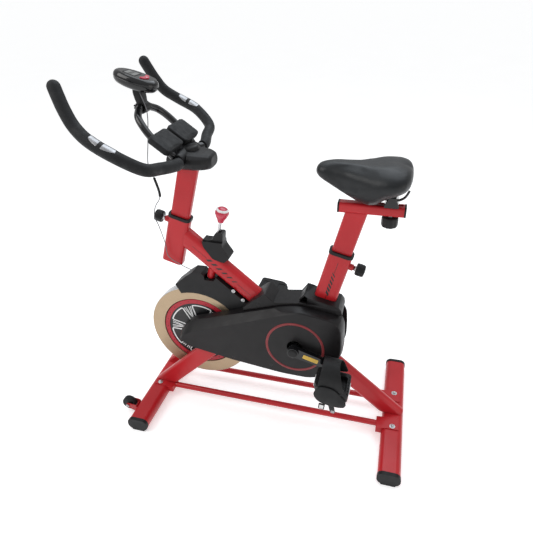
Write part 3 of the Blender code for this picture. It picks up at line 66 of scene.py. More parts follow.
# Wheel and drive
WHEEL = Vector((-0.236, 0.0, 0.279))
WHEEL_RADIUS = 0.182
CRANK = Vector((0.119, 0.0, 0.327))
CRANK_LENGTH = 0.145
CRANK_DROP = math.radians(16.0)
PEDAL_TILT = math.radians(6.0)
PEDAL_INNER_Y = 0.122
PEDAL_OUTER_Y = 0.222
COVER_FACE_Y = 0.080

# Straight tubes of the frame
BEAM_AXIS = Vector((1.0, 0.0, -0.846)).normalized()
BEAM_HALF_WIDTH = 0.019
HEAD_BASE = Vector((-0.311, 0.0, 0.552))
HEAD_AXIS = Vector((0.28, 0.0, 1.0)).normalized()
SEAT_BASE = Vector((0.1528, 0.0, 0.298))
SEAT_AXIS = Vector((0.25, 0.0, 1.0)).normalized()
SLEEVE_HALF_WIDTH = 0.020
BRAKE_AXIS = Vector((0.237, 0.0, 1.0)).normalized()

# Handlebar and console
CLAMP_CENTRE = Vector((-0.222, 0.0, 0.915))
BAR_RADIUS = 0.0125
GRIP_RADIUS = 0.0165
LOOP_RADIUS = 0.0105
LOOP_TOP = Vector((-0.340, 0.0, 1.042))
CONSOLE_CENTRE = Vector((-0.350, 0.0, 1.113))
CONSOLE_SLOPE = math.radians(17.0)
CONSOLE_HALF_LENGTH = 0.0650
CONSOLE_HALF_WIDTH = 0.0385
PAD_SLOPE = math.radians(35.5)
PAD_FRONT = Vector((-0.277, 0.0, 0.992))


# ---------------------------------------------------------------- geometry helpers


def add_piece(name, bm, material, body, smooth=True):
    """Turns a bmesh in frame coordinates into a named piece that rides on a body."""
    bmesh.ops.recalc_face_normals(bm, faces=bm.faces)
    mesh = bpy.data.meshes.new(name)
    bm.to_mesh(mesh)
    bm.free()
    obj = bpy.data.objects.new(name, mesh)
    bpy.context.scene.collection.objects.link(obj)
    mesh.materials.append(material)
    if smooth:
        mesh.shade_smooth()
    if body:
        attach(obj, body)
    return obj


def basis(origin, x_axis, y_axis, z_axis):
    """A matrix that places a piece's own axes in the frame."""
    columns = [Vector(x_axis), Vector(y_axis), Vector(z_axis)]
    turn = Matrix([[column[row] for column in columns] for row in range(3)])
    return Matrix.Translation(origin) @ turn.to_4x4()


def along(origin, direction):
    """A matrix with Z along a direction."""
    return Matrix.Translation(origin) @ Vector(direction).to_track_quat("Z", "Y").to_matrix().to_4x4()


def round_edges(obj, width, segments=2, angle=32.0):
    """Gives hard edges a small radius that catches the light."""
    weld = obj.modifiers.new("weld", "WELD")
    weld.merge_threshold = 1e-5
    bevel = obj.modifiers.new("bevel", "BEVEL")
    bevel.width = width
    bevel.segments = segments
    bevel.limit_method = "ANGLE"
    bevel.angle_limit = math.radians(angle)
    normals = obj.modifiers.new("normals", "WEIGHTED_NORMAL")
    normals.keep_sharp = True
    obj.data.shade_smooth()


def add_rings(bm, rings, closed_ends=True):
    """Skins a list of rings, each with the same number of points."""
    made = [[bm.verts.new(point) for point in ring] for ring in rings]
    count = len(made[0])
    for low, high in zip(made, made[1:]):
        for i in range(count):
            j = (i + 1) % count
            bm.faces.new((low[i], low[j], high[j], high[i]))
    if closed_ends:
        bm.faces.new(made[0][::-1])
        bm.faces.new(made[-1])


def add_turned(bm, profile, matrix, segments=64):
    """A closed profile of (radius, height) points, turned about the matrix's Z."""
    rings = []
    for radius, height in profile:
        ring = []
        for i in range(segments):
            angle = 2 * math.pi * i / segments
            ring.append(matrix @ Vector((radius * math.cos(angle), radius * math.sin(angle), height)))
        rings.append(ring)
    add_rings(bm, [*rings, rings[0]], closed_ends=False)
    bmesh.ops.remove_doubles(bm, verts=bm.verts, dist=1e-7)


def add_dome(bm, profile, matrix, segments=48):
    """A profile that starts and ends on the axis, turned about the matrix's Z."""
    rings = []
    for radius, height in profile:
        ring = []
        for i in range(segments):
            angle = 2 * math.pi * i / segments
            ring.append(matrix @ Vector((radius * math.cos(angle), radius * math.sin(angle), height)))
        rings.append(ring)
    add_rings(bm, rings)


def add_prism(bm, outline, low, high, matrix):
    """An outline of (x, y) points, extruded between two heights."""
    rings = [[matrix @ Vector((x, y, z)) for x, y in outline] for z in (low, high)]
    add_rings(bm, rings)


def add_stroke(bm, points, width, low, high, matrix, closed=False):
    """A flat line of even width through (x, y) points."""
    count = len(points)
    left, right = [], []
    for i, point in enumerate(points):
        before = points[i - 1] if i or closed else point
        after = points[(i + 1) % count] if i + 1 < count or closed else point
        direction = (Vector(after) - Vector(before)).normalized()
        across = Vector((-direction.y, direction.x)) * width / 2
        left.append(Vector(point) + across)
        right.append(Vector(point) - across)
    rings = []
    for a, b in zip(left, right):
        corners = [(*a, low), (*b, low), (*b, high), (*a, high)]
        rings.append([matrix @ Vector(corner) for corner in corners])
    if closed:
        add_rings(bm, [*rings, rings[0]], closed_ends=False)
        bmesh.ops.remove_doubles(bm, verts=bm.verts, dist=1e-7)
    else:
        add_rings(bm, rings)


def arc(centre, radius, start, end, steps):
    """Points along an arc, its angles in degrees."""
    points = []
    for i in range(steps + 1):
        angle = math.radians(start + (end - start) * i / steps)
        points.append((centre[0] + radius * math.cos(angle), centre[1] + radius * math.sin(angle)))
    return points


def rectangle(half_x, half_y):
    return [(-half_x, -half_y), (half_x, -half_y), (half_x, half_y), (-half_x, half_y)]


def rounded_outline(corners, radius, steps=5):
    """An outline with each corner replaced by a small curve."""
    made = []
    count = len(corners)
    for i in range(count):
        corner = Vector(corners[i])
        before = (Vector(corners[i - 1]) - corner).normalized() * radius
        after = (Vector(corners[(i + 1) % count]) - corner).normalized() * radius
        for k in range(steps + 1):
            t = k / steps
            place = corner + before * (1 - t) ** 2 + after * t**2
            made.append((place.x, place.y))
    return made


def smooth_path(points, per_span=4):
    """Points of a Catmull-Rom curve through the given points."""
    points = [Vector(p) for p in points]
    ends = [points[0] * 2 - points[1], *points, points[-1] * 2 - points[-2]]
    made = []
    for a, b, c, d in zip(ends, ends[1:], ends[2:], ends[3:]):
        for k in range(per_span):
            t = k / per_span
            linear = 2 * b + (c - a) * t
            square = (2 * a - 5 * b + 4 * c - d) * t**2
            cube = (3 * b - a - 3 * c + d) * t**3
            made.append(0.5 * (linear + square + cube))
    return [*made, points[-1]]


def path_frames(points):
    """Tangent and two cross axes at each point, carried along without twist."""
    frames = []
    across = Vector((0, 0, 1))
    for i, point in enumerate(points):
        before = points[max(i - 1, 0)]
        after = points[min(i + 1, len(points) - 1)]
        tangent = (after - before).normalized()
        across = (across - tangent * across.dot(tangent)).normalized()
        frames.append((point, tangent, across, tangent.cross(across)))
    return frames


def add_tube(bm, points, radius, sides=28, round_start=False, round_end=False):
    """A round tube along a path, its ends flat or domed."""
    frames = path_frames(points)
    rings = []

    def ring(place, first, second, r):
        turned = []
        for i in range(sides):
            angle = 2 * math.pi * i / sides
            turned.append(place + first * (r * math.cos(angle)) + second * (r * math.sin(angle)))
        return turned

    cap_steps = (0.995, 0.95, 0.86, 0.70, 0.50, 0.28)
    if round_start:
        place, tangent, first, second = frames[0]
        for lift in cap_steps:
            centre = place - tangent * (radius * lift)
            rings.append(ring(centre, first, second, radius * math.sqrt(1 - lift**2)))
    for place, tangent, first, second in frames:
        rings.append(ring(place, first, second, radius))
    if round_end:
        place, tangent, first, second = frames[-1]
        for lift in reversed(cap_steps):
            centre = place + tangent * (radius * lift)
            rings.append(ring(centre, first, second, radius * math.sqrt(1 - lift**2)))
    add_rings(bm, rings)


# ---------------------------------------------------------------- materials


def start_material(name, colour, roughness, metallic=0.0):
    """A material with its Principled shader set, and its object-space coordinates ready."""
    made = bpy.data.materials.new(name)
    made.use_nodes = True
    tree = made.node_tree
    shader = tree.nodes["Principled BSDF"]
    shader.inputs["Base Color"].default_value = (*colour, 1.0)
    shader.inputs["Roughness"].default_value = roughness
    shader.inputs["Metallic"].default_value = metallic
    where = tree.nodes.new("ShaderNodeTexCoord")
    where.name = "where"
    return made, tree, shader


def add_noise(tree, scale, detail=4.0, stretch=(1.0, 1.0, 1.0)):
    """A noise value in object space, stretched along the axes."""
    mapping = tree.nodes.new("ShaderNodeMapping")
    mapping.inputs["Scale"].default_value = stretch
    texture = tree.nodes.new("ShaderNodeTexNoise")
    texture.inputs["Scale"].default_value = scale
    texture.inputs["Detail"].default_value = detail
    tree.links.new(tree.nodes["where"].outputs["Object"], mapping.inputs["Vector"])
    tree.links.new(mapping.outputs["Vector"], texture.inputs["Vector"])
    return texture.outputs["Fac"]


def add_cells(tree, scale):
    """The distance to the nearest edge of a cell pattern, as leather and moulded grain have."""
    texture = tree.nodes.new("ShaderNodeTexVoronoi")
    texture.feature = "DISTANCE_TO_EDGE"
    texture.inputs["Scale"].default_value = scale
    tree.links.new(tree.nodes["where"].outputs["Object"], texture.inputs["Vector"])
    return texture.outputs["Distance"]


def add_range(tree, value, low, high, start=0.3, end=0.7):
    """Maps a value that runs from start to end onto low to high."""
    mapped = tree.nodes.new("ShaderNodeMapRange")
    mapped.inputs["From Min"].default_value = start
    mapped.inputs["From Max"].default_value = end
    mapped.inputs["To Min"].default_value = low
    mapped.inputs["To Max"].default_value = high
    tree.links.new(value, mapped.inputs["Value"])
    return mapped.outputs["Result"]


def add_ramp(tree, value, stops):
    """A colour ramp of (position, colour) stops."""
    ramp = tree.nodes.new("ShaderNodeValToRGB")
    elements = ramp.color_ramp.elements
    for i, (position, colour) in enumerate(stops):
        element = elements[i] if i < 2 else elements.new(position)
        element.position = position
        element.color = (*colour, 1.0)
    tree.links.new(value, ramp.inputs["Fac"])
    return ramp.outputs["Color"]


def add_bump(tree, shader, height, distance, strength=1.0):
    """Fine relief, chained after any relief that the shader already has."""
    bump = tree.nodes.new("ShaderNodeBump")
    bump.inputs["Distance"].default_value = distance
    bump.inputs["Strength"].default_value = strength
    tree.links.new(height, bump.inputs["Height"])
    if shader.inputs["Normal"].is_linked:
        tree.links.new(shader.inputs["Normal"].links[0].from_socket, bump.inputs["Normal"])
    tree.links.new(bump.outputs["Normal"], shader.inputs["Normal"])


def vary(tree, shader, dark, light, scale, rough_low, rough_high, rough_scale):
    """Slow colour drift and patches of different polish."""
    colour = add_ramp(tree, add_noise(tree, scale, 3.0), [(0.3, dark), (0.7, light)])
    tree.links.new(colour, shader.inputs["Base Color"])
    polish = add_range(tree, add_noise(tree, rough_scale, 5.0), rough_low, rough_high)
    tree.links.new(polish, shader.inputs["Roughness"])


def red_enamel():
    made, tree, shader = start_material("red_enamel", (0.38, 0.018, 0.022), 0.32)
    vary(tree, shader, (0.385, 0.0085, 0.0130), (0.465, 0.0130, 0.0190), 7.0, 0.30, 0.42, 30.0)
    shader.inputs["Specular IOR Level"].default_value = 0.30
    shader.inputs["Coat Weight"].default_value = 0.16
    shader.inputs["Coat Roughness"].default_value = 0.12
    add_bump(tree, shader, add_noise(tree, 420.0, 2.0), 0.0004, 0.10)
    return made


def moulded_black(name="moulded_black", warm_reflection_tint=1.0, rough=0.44):
    """Moulded plastic with a fine spark-eroded grain; a tint above 1 raises the red channel as painted warm
    reflected light.
    """
    made, tree, shader = start_material(name, (0.02, 0.02, 0.02), rough)
    # A red channel raised above 1 is painted warm reflected light, not the plastic's own colour.
    dark = (0.0062 * warm_reflection_tint, 0.0060, 0.0066)
    light = (0.0100 * warm_reflection_tint, 0.0096, 0.0104)
    vary(tree, shader, dark, light, 9.0, rough - 0.06, rough + 0.08, 45.0)
    shader.inputs["Specular IOR Level"].default_value = 0.26
    add_bump(tree, shader, add_noise(tree, 1500.0, 3.0), 0.0003, 0.16)
    return made


def gloss_black():
    made, tree, shader = start_material("gloss_black", (0.008, 0.008, 0.009), 0.12)
    vary(tree, shader, (0.004, 0.004, 0.005), (0.007, 0.007, 0.008), 8.0, 0.11, 0.20, 25.0)
    shader.inputs["Specular IOR Level"].default_value = 0.35
    shader.inputs["Coat Weight"].default_value = 0.25
    shader.inputs["Coat Roughness"].default_value = 0.05
    add_bump(tree, shader, add_noise(tree, 260.0, 2.0), 0.0003, 0.08)
    return made


def foam_black():
    """Closed-cell foam with its skin of tiny pores."""
    made, tree, shader = start_material("foam_black", (0.02, 0.02, 0.022), 0.72)
    vary(tree, shader, (0.0055, 0.0060, 0.0068), (0.0105, 0.0112, 0.0125), 14.0, 0.50, 0.72, 60.0)
    shader.inputs["Specular IOR Level"].default_value = 0.26
    shader.inputs["Sheen Weight"].default_value = 0.03
    shader.inputs["Sheen Roughness"].default_value = 0.5
    add_bump(tree, shader, add_cells(tree, 900.0), 0.0005, 0.35)
    add_bump(tree, shader, add_noise(tree, 160.0, 4.0), 0.0006, 0.18)
    return made


def vinyl_black():
    """Coated saddle cover with a soft leather grain."""
    made, tree, shader = start_material("vinyl_black", (0.014, 0.016, 0.019), 0.42)
    vary(tree, shader, (0.0045, 0.0056, 0.0068), (0.0080, 0.0094, 0.0112), 10.0, 0.36, 0.48, 35.0)
    shader.inputs["Specular IOR Level"].default_value = 0.34
    shader.inputs["Sheen Weight"].default_value = 0.02
    add_bump(tree, shader, add_cells(tree, 520.0), 0.0006, 0.22)
    add_bump(tree, shader, add_noise(tree, 60.0, 4.0), 0.0010, 0.12)
    return made


def black_rubber():
    made, tree, shader = start_material("black_rubber", (0.015, 0.015, 0.016), 0.6)
    vary(tree, shader, (0.0050, 0.0050, 0.0056), (0.0095, 0.0098, 0.0106), 18.0, 0.40, 0.58, 50.0)
    shader.inputs["Specular IOR Level"].default_value = 0.26
    add_bump(tree, shader, add_noise(tree, 700.0, 3.0), 0.0004, 0.2)
    return made


def zinc_steel(name="zinc_steel", colour=(0.60, 0.60, 0.61), rough=0.26):
    """Plated steel with fine drawing marks."""
    made, tree, shader = start_material(name, colour, rough, 1.0)
    dark = tuple(0.82 * part for part in colour)
    vary(tree, shader, dark, colour, 40.0, rough - 0.07, rough + 0.12, 120.0)
    add_bump(tree, shader, add_noise(tree, 600.0, 4.0, (1.0, 1.0, 6.0)), 0.0002, 0.15)
    return made


def turned_iron():
    """Flywheel metal: tool rings about the axle, a warm coat on the face and a bright rim."""
    made, tree, shader = start_material("turned_iron", (0.42, 0.31, 0.20), 0.36, 0.85)
    shift = tree.nodes.new("ShaderNodeVectorMath")
    shift.operation = "SUBTRACT"
    shift.inputs[1].default_value = WHEEL
    tree.links.new(tree.nodes["where"].outputs["Object"], shift.inputs[0])
    flat = tree.nodes.new("ShaderNodeVectorMath")
    flat.operation = "MULTIPLY"
    flat.inputs[1].default_value = (1.0, 0.0, 1.0)
    tree.links.new(shift.outputs["Vector"], flat.inputs[0])
    radius = tree.nodes.new("ShaderNodeVectorMath")
    radius.operation = "LENGTH"
    tree.links.new(flat.outputs["Vector"], radius.inputs[0])
    rings = tree.nodes.new("ShaderNodeTexNoise")
    rings.noise_dimensions = "1D"
    rings.inputs["Scale"].default_value = 2600.0
    rings.inputs["Detail"].default_value = 3.0
    tree.links.new(radius.outputs["Value"], rings.inputs["W"])
    face = add_ramp(tree, rings.outputs["Fac"], [(0.25, (0.36, 0.265, 0.170)), (0.75, (0.47, 0.355, 0.240))])
    edge = add_range(tree, radius.outputs["Value"], 0.0, 1.0, 0.1802, 0.1808)
    mix = tree.nodes.new("ShaderNodeMix")
    mix.data_type = "RGBA"
    mix.inputs["B"].default_value = (0.62, 0.62, 0.63, 1.0)
    tree.links.new(edge, mix.inputs["Factor"])
    tree.links.new(face, mix.inputs["A"])
    tree.links.new(mix.outputs["Result"], shader.inputs["Base Color"])
    polish = add_range(tree, add_noise(tree, 22.0, 4.0), 0.30, 0.42)
    tree.links.new(polish, shader.inputs["Roughness"])
    add_bump(tree, shader, rings.outputs["Fac"], 0.0002, 0.25)
    return made


def printed_ink(name, colour, rough=0.45):
    """Printed or painted marking, a little uneven."""
    made, tree, shader = start_material(name, colour, rough)
    dark = tuple(0.86 * part for part in colour)
    vary(tree, shader, dark, colour, 55.0, rough - 0.08, rough + 0.08, 80.0)
    add_bump(tree, shader, add_noise(tree, 900.0, 2.0), 0.0002, 0.08)
    return made


def red_plastic():
    made, tree, shader = start_material("red_plastic", (0.50, 0.018, 0.055), 0.25)
    vary(tree, shader, (0.46, 0.016, 0.048), (0.56, 0.022, 0.064), 30.0, 0.20, 0.30, 50.0)
    shader.inputs["Coat Weight"].default_value = 0.4
    shader.inputs["Coat Roughness"].default_value = 0.08
    return made


def display_glass():
    """Grey liquid-crystal window under a clear pane."""
    made, tree, shader = start_material("display_glass", (0.10, 0.105, 0.10), 0.18)
    vary(tree, shader, (0.085, 0.09, 0.085), (0.115, 0.12, 0.115), 60.0, 0.14, 0.22, 30.0)
    shader.inputs["Coat Weight"].default_value = 0.8
    shader.inputs["Coat Roughness"].default_value = 0.03
    return made


def lead_grey():
    made, tree, shader = start_material("lead_grey", (0.13, 0.13, 0.14), 0.45)
    vary(tree, shader, (0.10, 0.10, 0.11), (0.17, 0.17, 0.18), 40.0, 0.38, 0.52, 60.0)
    return made


def pale_floor():
    """Near-white sweep with a faint glow of its own, so that it stays even to the horizon."""
    made, tree, shader = start_material("pale_floor", (0.88, 0.88, 0.88), 0.8)
    vary(tree, shader, (0.87, 0.87, 0.87), (0.89, 0.89, 0.89), 1.5, 0.75, 0.9, 3.0)
    shader.inputs["Specular IOR Level"].default_value = 0.1
    shader.inputs["Emission Color"].default_value = (1.0, 1.0, 1.0, 1.0)
    shader.inputs["Emission Strength"].default_value = 0.42
    return made


RED = red_enamel()
PLASTIC = moulded_black()
# The covers' plastic: the same moulded black with a warmer tint, which is painted warm reflected light.
COVER_PLASTIC = moulded_black("cover_plastic", 1.08, 0.40)
GLOSS = gloss_black()
FOAM = foam_black()
VINYL = vinyl_black()
RUBBER = black_rubber()
STEEL = zinc_steel()
PLATE = zinc_steel("sensor_plate", (0.36, 0.36, 0.37), 0.34)
IRON = turned_iron()
RED_PLASTIC = red_plastic()
RED_INK = printed_ink("red_ink", (0.44, 0.009, 0.024))
DULL_RED_INK = printed_ink("dull_red_ink", (0.22, 0.014, 0.018))
WHITE_INK = printed_ink("white_ink", (0.80, 0.80, 0.80))
BLACK_INK = printed_ink("black_ink", (0.005, 0.005, 0.006), 0.40)
STRIPE_INK = printed_ink("stripe_ink", (0.010, 0.004, 0.004), 0.4)
LABEL = printed_ink("label_yellow", (0.66, 0.42, 0.05), 0.5)
DISPLAY = display_glass()
LEAD = lead_grey()
FLOOR = pale_floor()

CAD_LOOKS = {
    "red_paint": (RED, 0.0012),
    "black_paint": (GLOSS, 0.0012),
    "steel": (STEEL, 0.0005),
    "wheel_iron": (IRON, 0.0008),
    "rubber": (RUBBER, 0.0010),
    "black_plastic": (PLASTIC, 0.0012),
    "foam": (FOAM, 0.0015),
    "vinyl": (VINYL, 0.0015),
    "red_plastic": (RED_PLASTIC, 0.0006),
}


def dress_cad_nodes():
    """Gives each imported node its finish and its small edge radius."""
    for row in frame["record"]["subparts"]:
        obj = NODES[row["node"]]
        material, width = CAD_LOOKS[row["material_slot"]]
        # The covers take the warm-tinted plastic; that tint is painted warm reflected light.
        if row["node"] in ("left_cover", "right_cover", "top_cover"):
            material, width = COVER_PLASTIC, 0.0020
        if row["node"] in ("saddle_clamp", "saddle_rails"):
            material = GLOSS
        obj.data.materials.clear()
        obj.data.materials.append(material)
        round_edges(obj, width)


# ---------------------------------------------------------------- flywheel


def make_flywheel():
    """Turned rim, printed disc, hub and belt pulley in place of the plain CAD wheel."""
    turn = along(WHEEL, (0, 1, 0))
    bm = bmesh.new()
    outer = [
        (0.1350, 0.0160),
        (0.1360, 0.0190),
        (0.1372, 0.0197),
        (0.1790, 0.0199),
        (0.1810, 0.0192),
        (WHEEL_RADIUS, 0.0178),
    ]
    profile = [*outer, *((r, -y) for r, y in reversed(outer))]
    add_turned(bm, profile, turn, 144)
    rim = add_piece("flywheel_rim", bm, IRON, "flywheel_unit")
    round_edges(rim, 0.0004, 1)
    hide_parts("flywheel")

    bm = bmesh.new()
    outer = [(0.026, 0.0168), (0.1135, 0.0168), (0.1150, 0.0160), (0.1330, 0.0160), (0.1345, 0.0150)]
    add_turned(bm, [*outer, *((r, -y) for r, y in reversed(outer))], turn, 96)
    disc = add_piece("flywheel_disc", bm, BLACK_INK, "flywheel_unit")
    round_edges(disc, 0.0003, 1)

    for side, word in SIDES:
        face = along(WHEEL, (0, side, 0))
        bm = bmesh.new()
        add_turned(bm, [(0.1165, 0.0158), (0.1167, 0.0176), (0.1330, 0.0176), (0.1334, 0.0158)], face, 96)
        ring = add_piece(word + "_wheel_ring", bm, RED_INK, "flywheel_unit")
        round_edges(ring, 0.0003, 1)
        make_wheel_print(word, face)
        bm = bmesh.new()
        hub = [
            (0.0066, 0.020),
            (0.0066, 0.0235),
            (0.018, 0.0235),
            (0.0205, 0.0222),
            (0.024, 0.0185),
            (0.030, 0.0166),
        ]
        add_turned(bm, [*hub, (0.030, 0.0150), (0.0066, 0.0150)], face, 64)
        add_piece(word + "_wheel_hub", bm, STEEL, "flywheel_unit")
    make_wheel_pulley()


def make_wheel_print(word, face):
    """White line pattern of arches and darts, and the dark dots on the ring."""
    bm = bmesh.new()
    arches = 6
    for i in range(arches):
        middle = 360.0 * i / arches + 22.0
        leg_in, leg_out = 15.0, 19.5
        inner, outer = 0.050, 0.1080
        left = arc((0, 0), inner, middle - leg_in, middle - leg_in, 1)[:1]
        top = arc((0, 0), outer, middle - leg_out, middle + leg_out, 10)
        right = arc((0, 0), inner, middle + leg_in, middle + leg_in, 1)[:1]
        add_stroke(bm, rounded_line([*left, *top, *right]), 0.0046, 0.0164, 0.0172, face)
        gap = middle + 180.0 / arches
        for sign in (-1, 1):
            start = arc((0, 0), 0.056, gap + sign * 0.8, gap, 1)[0]
            for lean in (3.0, 7.0):
                end = arc((0, 0), 0.106, gap + sign * lean, gap, 1)[0]
                add_stroke(bm, [start, end], 0.0028, 0.0164, 0.0171, face)
    add_piece(word + "_wheel_lines", bm, WHITE_INK, "flywheel_unit", smooth=False)
    bm = bmesh.new()
    for x, y in arc((0, 0), 0.1248, 0, 345, 23):
        spot = face @ Matrix.Translation((x, y, 0.0170))
        add_dome(bm, [(0.0016, 0.0), (0.0016, 0.0010), (0.0010, 0.0014), (0.0001, 0.0015)], spot, 12)
    add_piece(word + "_wheel_studs", bm, BLACK_INK, "flywheel_unit")


def rounded_line(points, radius=0.008, steps=4):
    """An open line whose two sharp shoulders are eased."""
    made = [points[0]]
    for i in range(1, len(points) - 1):
        corner = Vector(points[i])
        before = Vector(points[i - 1]) - corner
        after = Vector(points[i + 1]) - corner
        if before.angle(after) > math.radians(150):
            made.append(points[i])
            continue
        cut_before = before.normalized() * min(radius, before.length * 0.6)
        cut_after = after.normalized() * min(radius, after.length * 0.9)
        for k in range(steps + 1):
            t = k / steps
            place = corner + cut_before * (1 - t) ** 2 + cut_after * t**2
            made.append((place.x, place.y))
    return [*made, points[-1]]


def make_wheel_pulley():
    """Ribbed belt pulley on the wheel's left side."""
    centre = 0.0335
    profile = [(0.0128, centre - 0.0060), (0.0232, centre - 0.0060), (0.0236, centre - 0.0052)]
    ribs = 5
    for i in range(ribs):
        start = centre - 0.0042 + 0.0084 * i / ribs
        profile += [(0.0198, start + 0.0003), (0.0206, start + 0.0008), (0.0198, start + 0.0014)]
    profile += [(0.0236, centre + 0.0052), (0.0232, centre + 0.0060), (0.0128, centre + 0.0060)]
    bm = bmesh.new()
    add_turned(bm, profile, along(WHEEL, (0, -1, 0)), 64)
    pulley = add_piece("flywheel_pulley", bm, STEEL, "flywheel_unit")
    round_edges(pulley, 0.0002, 1)


# ---------------------------------------------------------------- drive side


def crank_end(side):
    """Pedal axis of a side; the two arms point opposite ways."""
    reach = CRANK_LENGTH * (1 if side < 0 else -1)
    return CRANK + Vector((reach * math.cos(CRANK_DROP), 0.0, -reach * math.sin(CRANK_DROP)))


def add_screw_socket(bm, socket, rim):
    """Raised rim of a screw hole and the screw head inside it."""
    profile = [(0.0022, 0.0), (rim, 0.0), (rim + 0.0004, 0.0014), (0.0040, 0.0018), (0.0024, 0.0006)]
    add_turned(bm, profile, socket, 24)
    add_dome(bm, [(0.0030, 0.0002), (0.0026, 0.0010), (0.0001, 0.0013)], socket, 20)


def make_cover_details():
    """Red ring and screws on the drive covers."""
    for side, word, face_y in ((-1, "left", COVER_FACE_Y), (1, "right", 0.040)):
        face = along(CRANK, (0, side, 0))
        bm = bmesh.new()
        low, high = face_y - 0.001, face_y + 0.0006
        add_turned(bm, [(0.0880, low), (0.0883, high), (0.0963, high), (0.0966, low)], face, 128)
        add_piece(word + "_cover_ring", bm, DULL_RED_INK, "frame")
        bm = bmesh.new()
        for x, z in ((-0.092, 0.243), (0.040, 0.236), (0.176, 0.395)):
            socket = along((x, side * (face_y - 0.0012), z), (0, side, 0))
            add_screw_socket(bm, socket, 0.0046)
        add_piece(word + "_cover_screws", bm, BLACK_INK, "frame")
    bm = bmesh.new()
    socket = along((-0.009, -0.0452, 0.450), (0, -1, 0))
    add_screw_socket(bm, socket, 0.0048)
    add_piece("top_cover_screw", bm, BLACK_INK, "frame")


def make_crank_details():
    """Dust caps and arm label."""
    for side, word in SIDES:
        turn = along(CRANK + Vector((0, side * 0.111, 0)), (0, side, 0))
        bm = bmesh.new()
        cap = [(0.0150, -0.0006), (0.0150, 0.0016), (0.0138, 0.0026), (0.0060, 0.0030), (0.0001, 0.0031)]
        add_dome(bm, cap, turn, 40)
        add_piece(word + "_dust_cap", bm, PLASTIC, "crank_set")
    arm = (crank_end(-1) - CRANK).normalized()
    lift = Vector((0, -1, 0)).cross(arm)
    start = CRANK + arm * 0.034 + Vector((0, -0.1052, 0))
    place = basis(start, arm, lift, arm.cross(lift))
    bm = bmesh.new()
    outline = rounded_outline([(0.0, -0.0075), (0.050, -0.0075), (0.050, 0.0075), (0.0, 0.0075)], 0.0012, 3)
    add_prism(bm, outline, -0.0003, 0.0003, place)
    add_piece("crank_label", bm, LABEL, "crank_set", smooth=False)


def pedal_matrix(side):
    """Frame of a pedal: X along the sole, Y world Y, Z up from the sole; the raised one hangs upside down."""
    turn = PEDAL_TILT if side < 0 else PEDAL_TILT + math.pi
    return Matrix.Translation(crank_end(side)) @ Matrix.Rotation(turn, 4, "Y")


def make_pedal_details(side, word):
    """Grip studs, rubber tread and reflectors."""
    place = pedal_matrix(side)
    body = word + "_pedal_unit"
    middle = side * (PEDAL_INNER_Y + PEDAL_OUTER_Y) / 2
    bm = bmesh.new()
    for x in (-0.048, 0.045):
        for k in range(7):
            y = middle - 0.036 + 0.012 * k
            stud = place @ Matrix.Translation((x, y, 0.0120))
            add_dome(bm, [(0.0022, -0.0005), (0.0020, 0.0014), (0.0010, 0.0022), (0.0001, 0.0023)], stud, 8)
    add_piece(word + "_pedal_studs", bm, PLASTIC, body)
    y_low, y_high = PEDAL_INNER_Y + 0.006, PEDAL_OUTER_Y - 0.006
    sole = rounded_outline([(-0.046, y_low), (0.045, y_low), (0.045, y_high), (-0.046, y_high)], 0.008)
    bm = bmesh.new()
    add_prism(bm, sole, -0.0100, -0.0035, place @ Matrix.Scale(side, 4, (0, 1, 0)))
    bmesh.ops.recalc_face_normals(bm, faces=bm.faces)
    tread = add_piece(word + "_pedal_tread", bm, RUBBER, body)
    round_edges(tread, 0.0008, 2, 40.0)
    bm = bmesh.new()
    for x, away in ((-0.0556, -1), (0.0506, 1)):
        plate = place @ basis((x, middle, 0), (0, away, 0), (0, 0, 1), (away, 0, 0))
        outline = rounded_outline(rectangle(0.019, 0.006), 0.002, 4)
        add_prism(bm, outline, -0.0010, 0.0012, plate)
    add_piece(word + "_pedal_reflectors", bm, WHITE_INK, body)


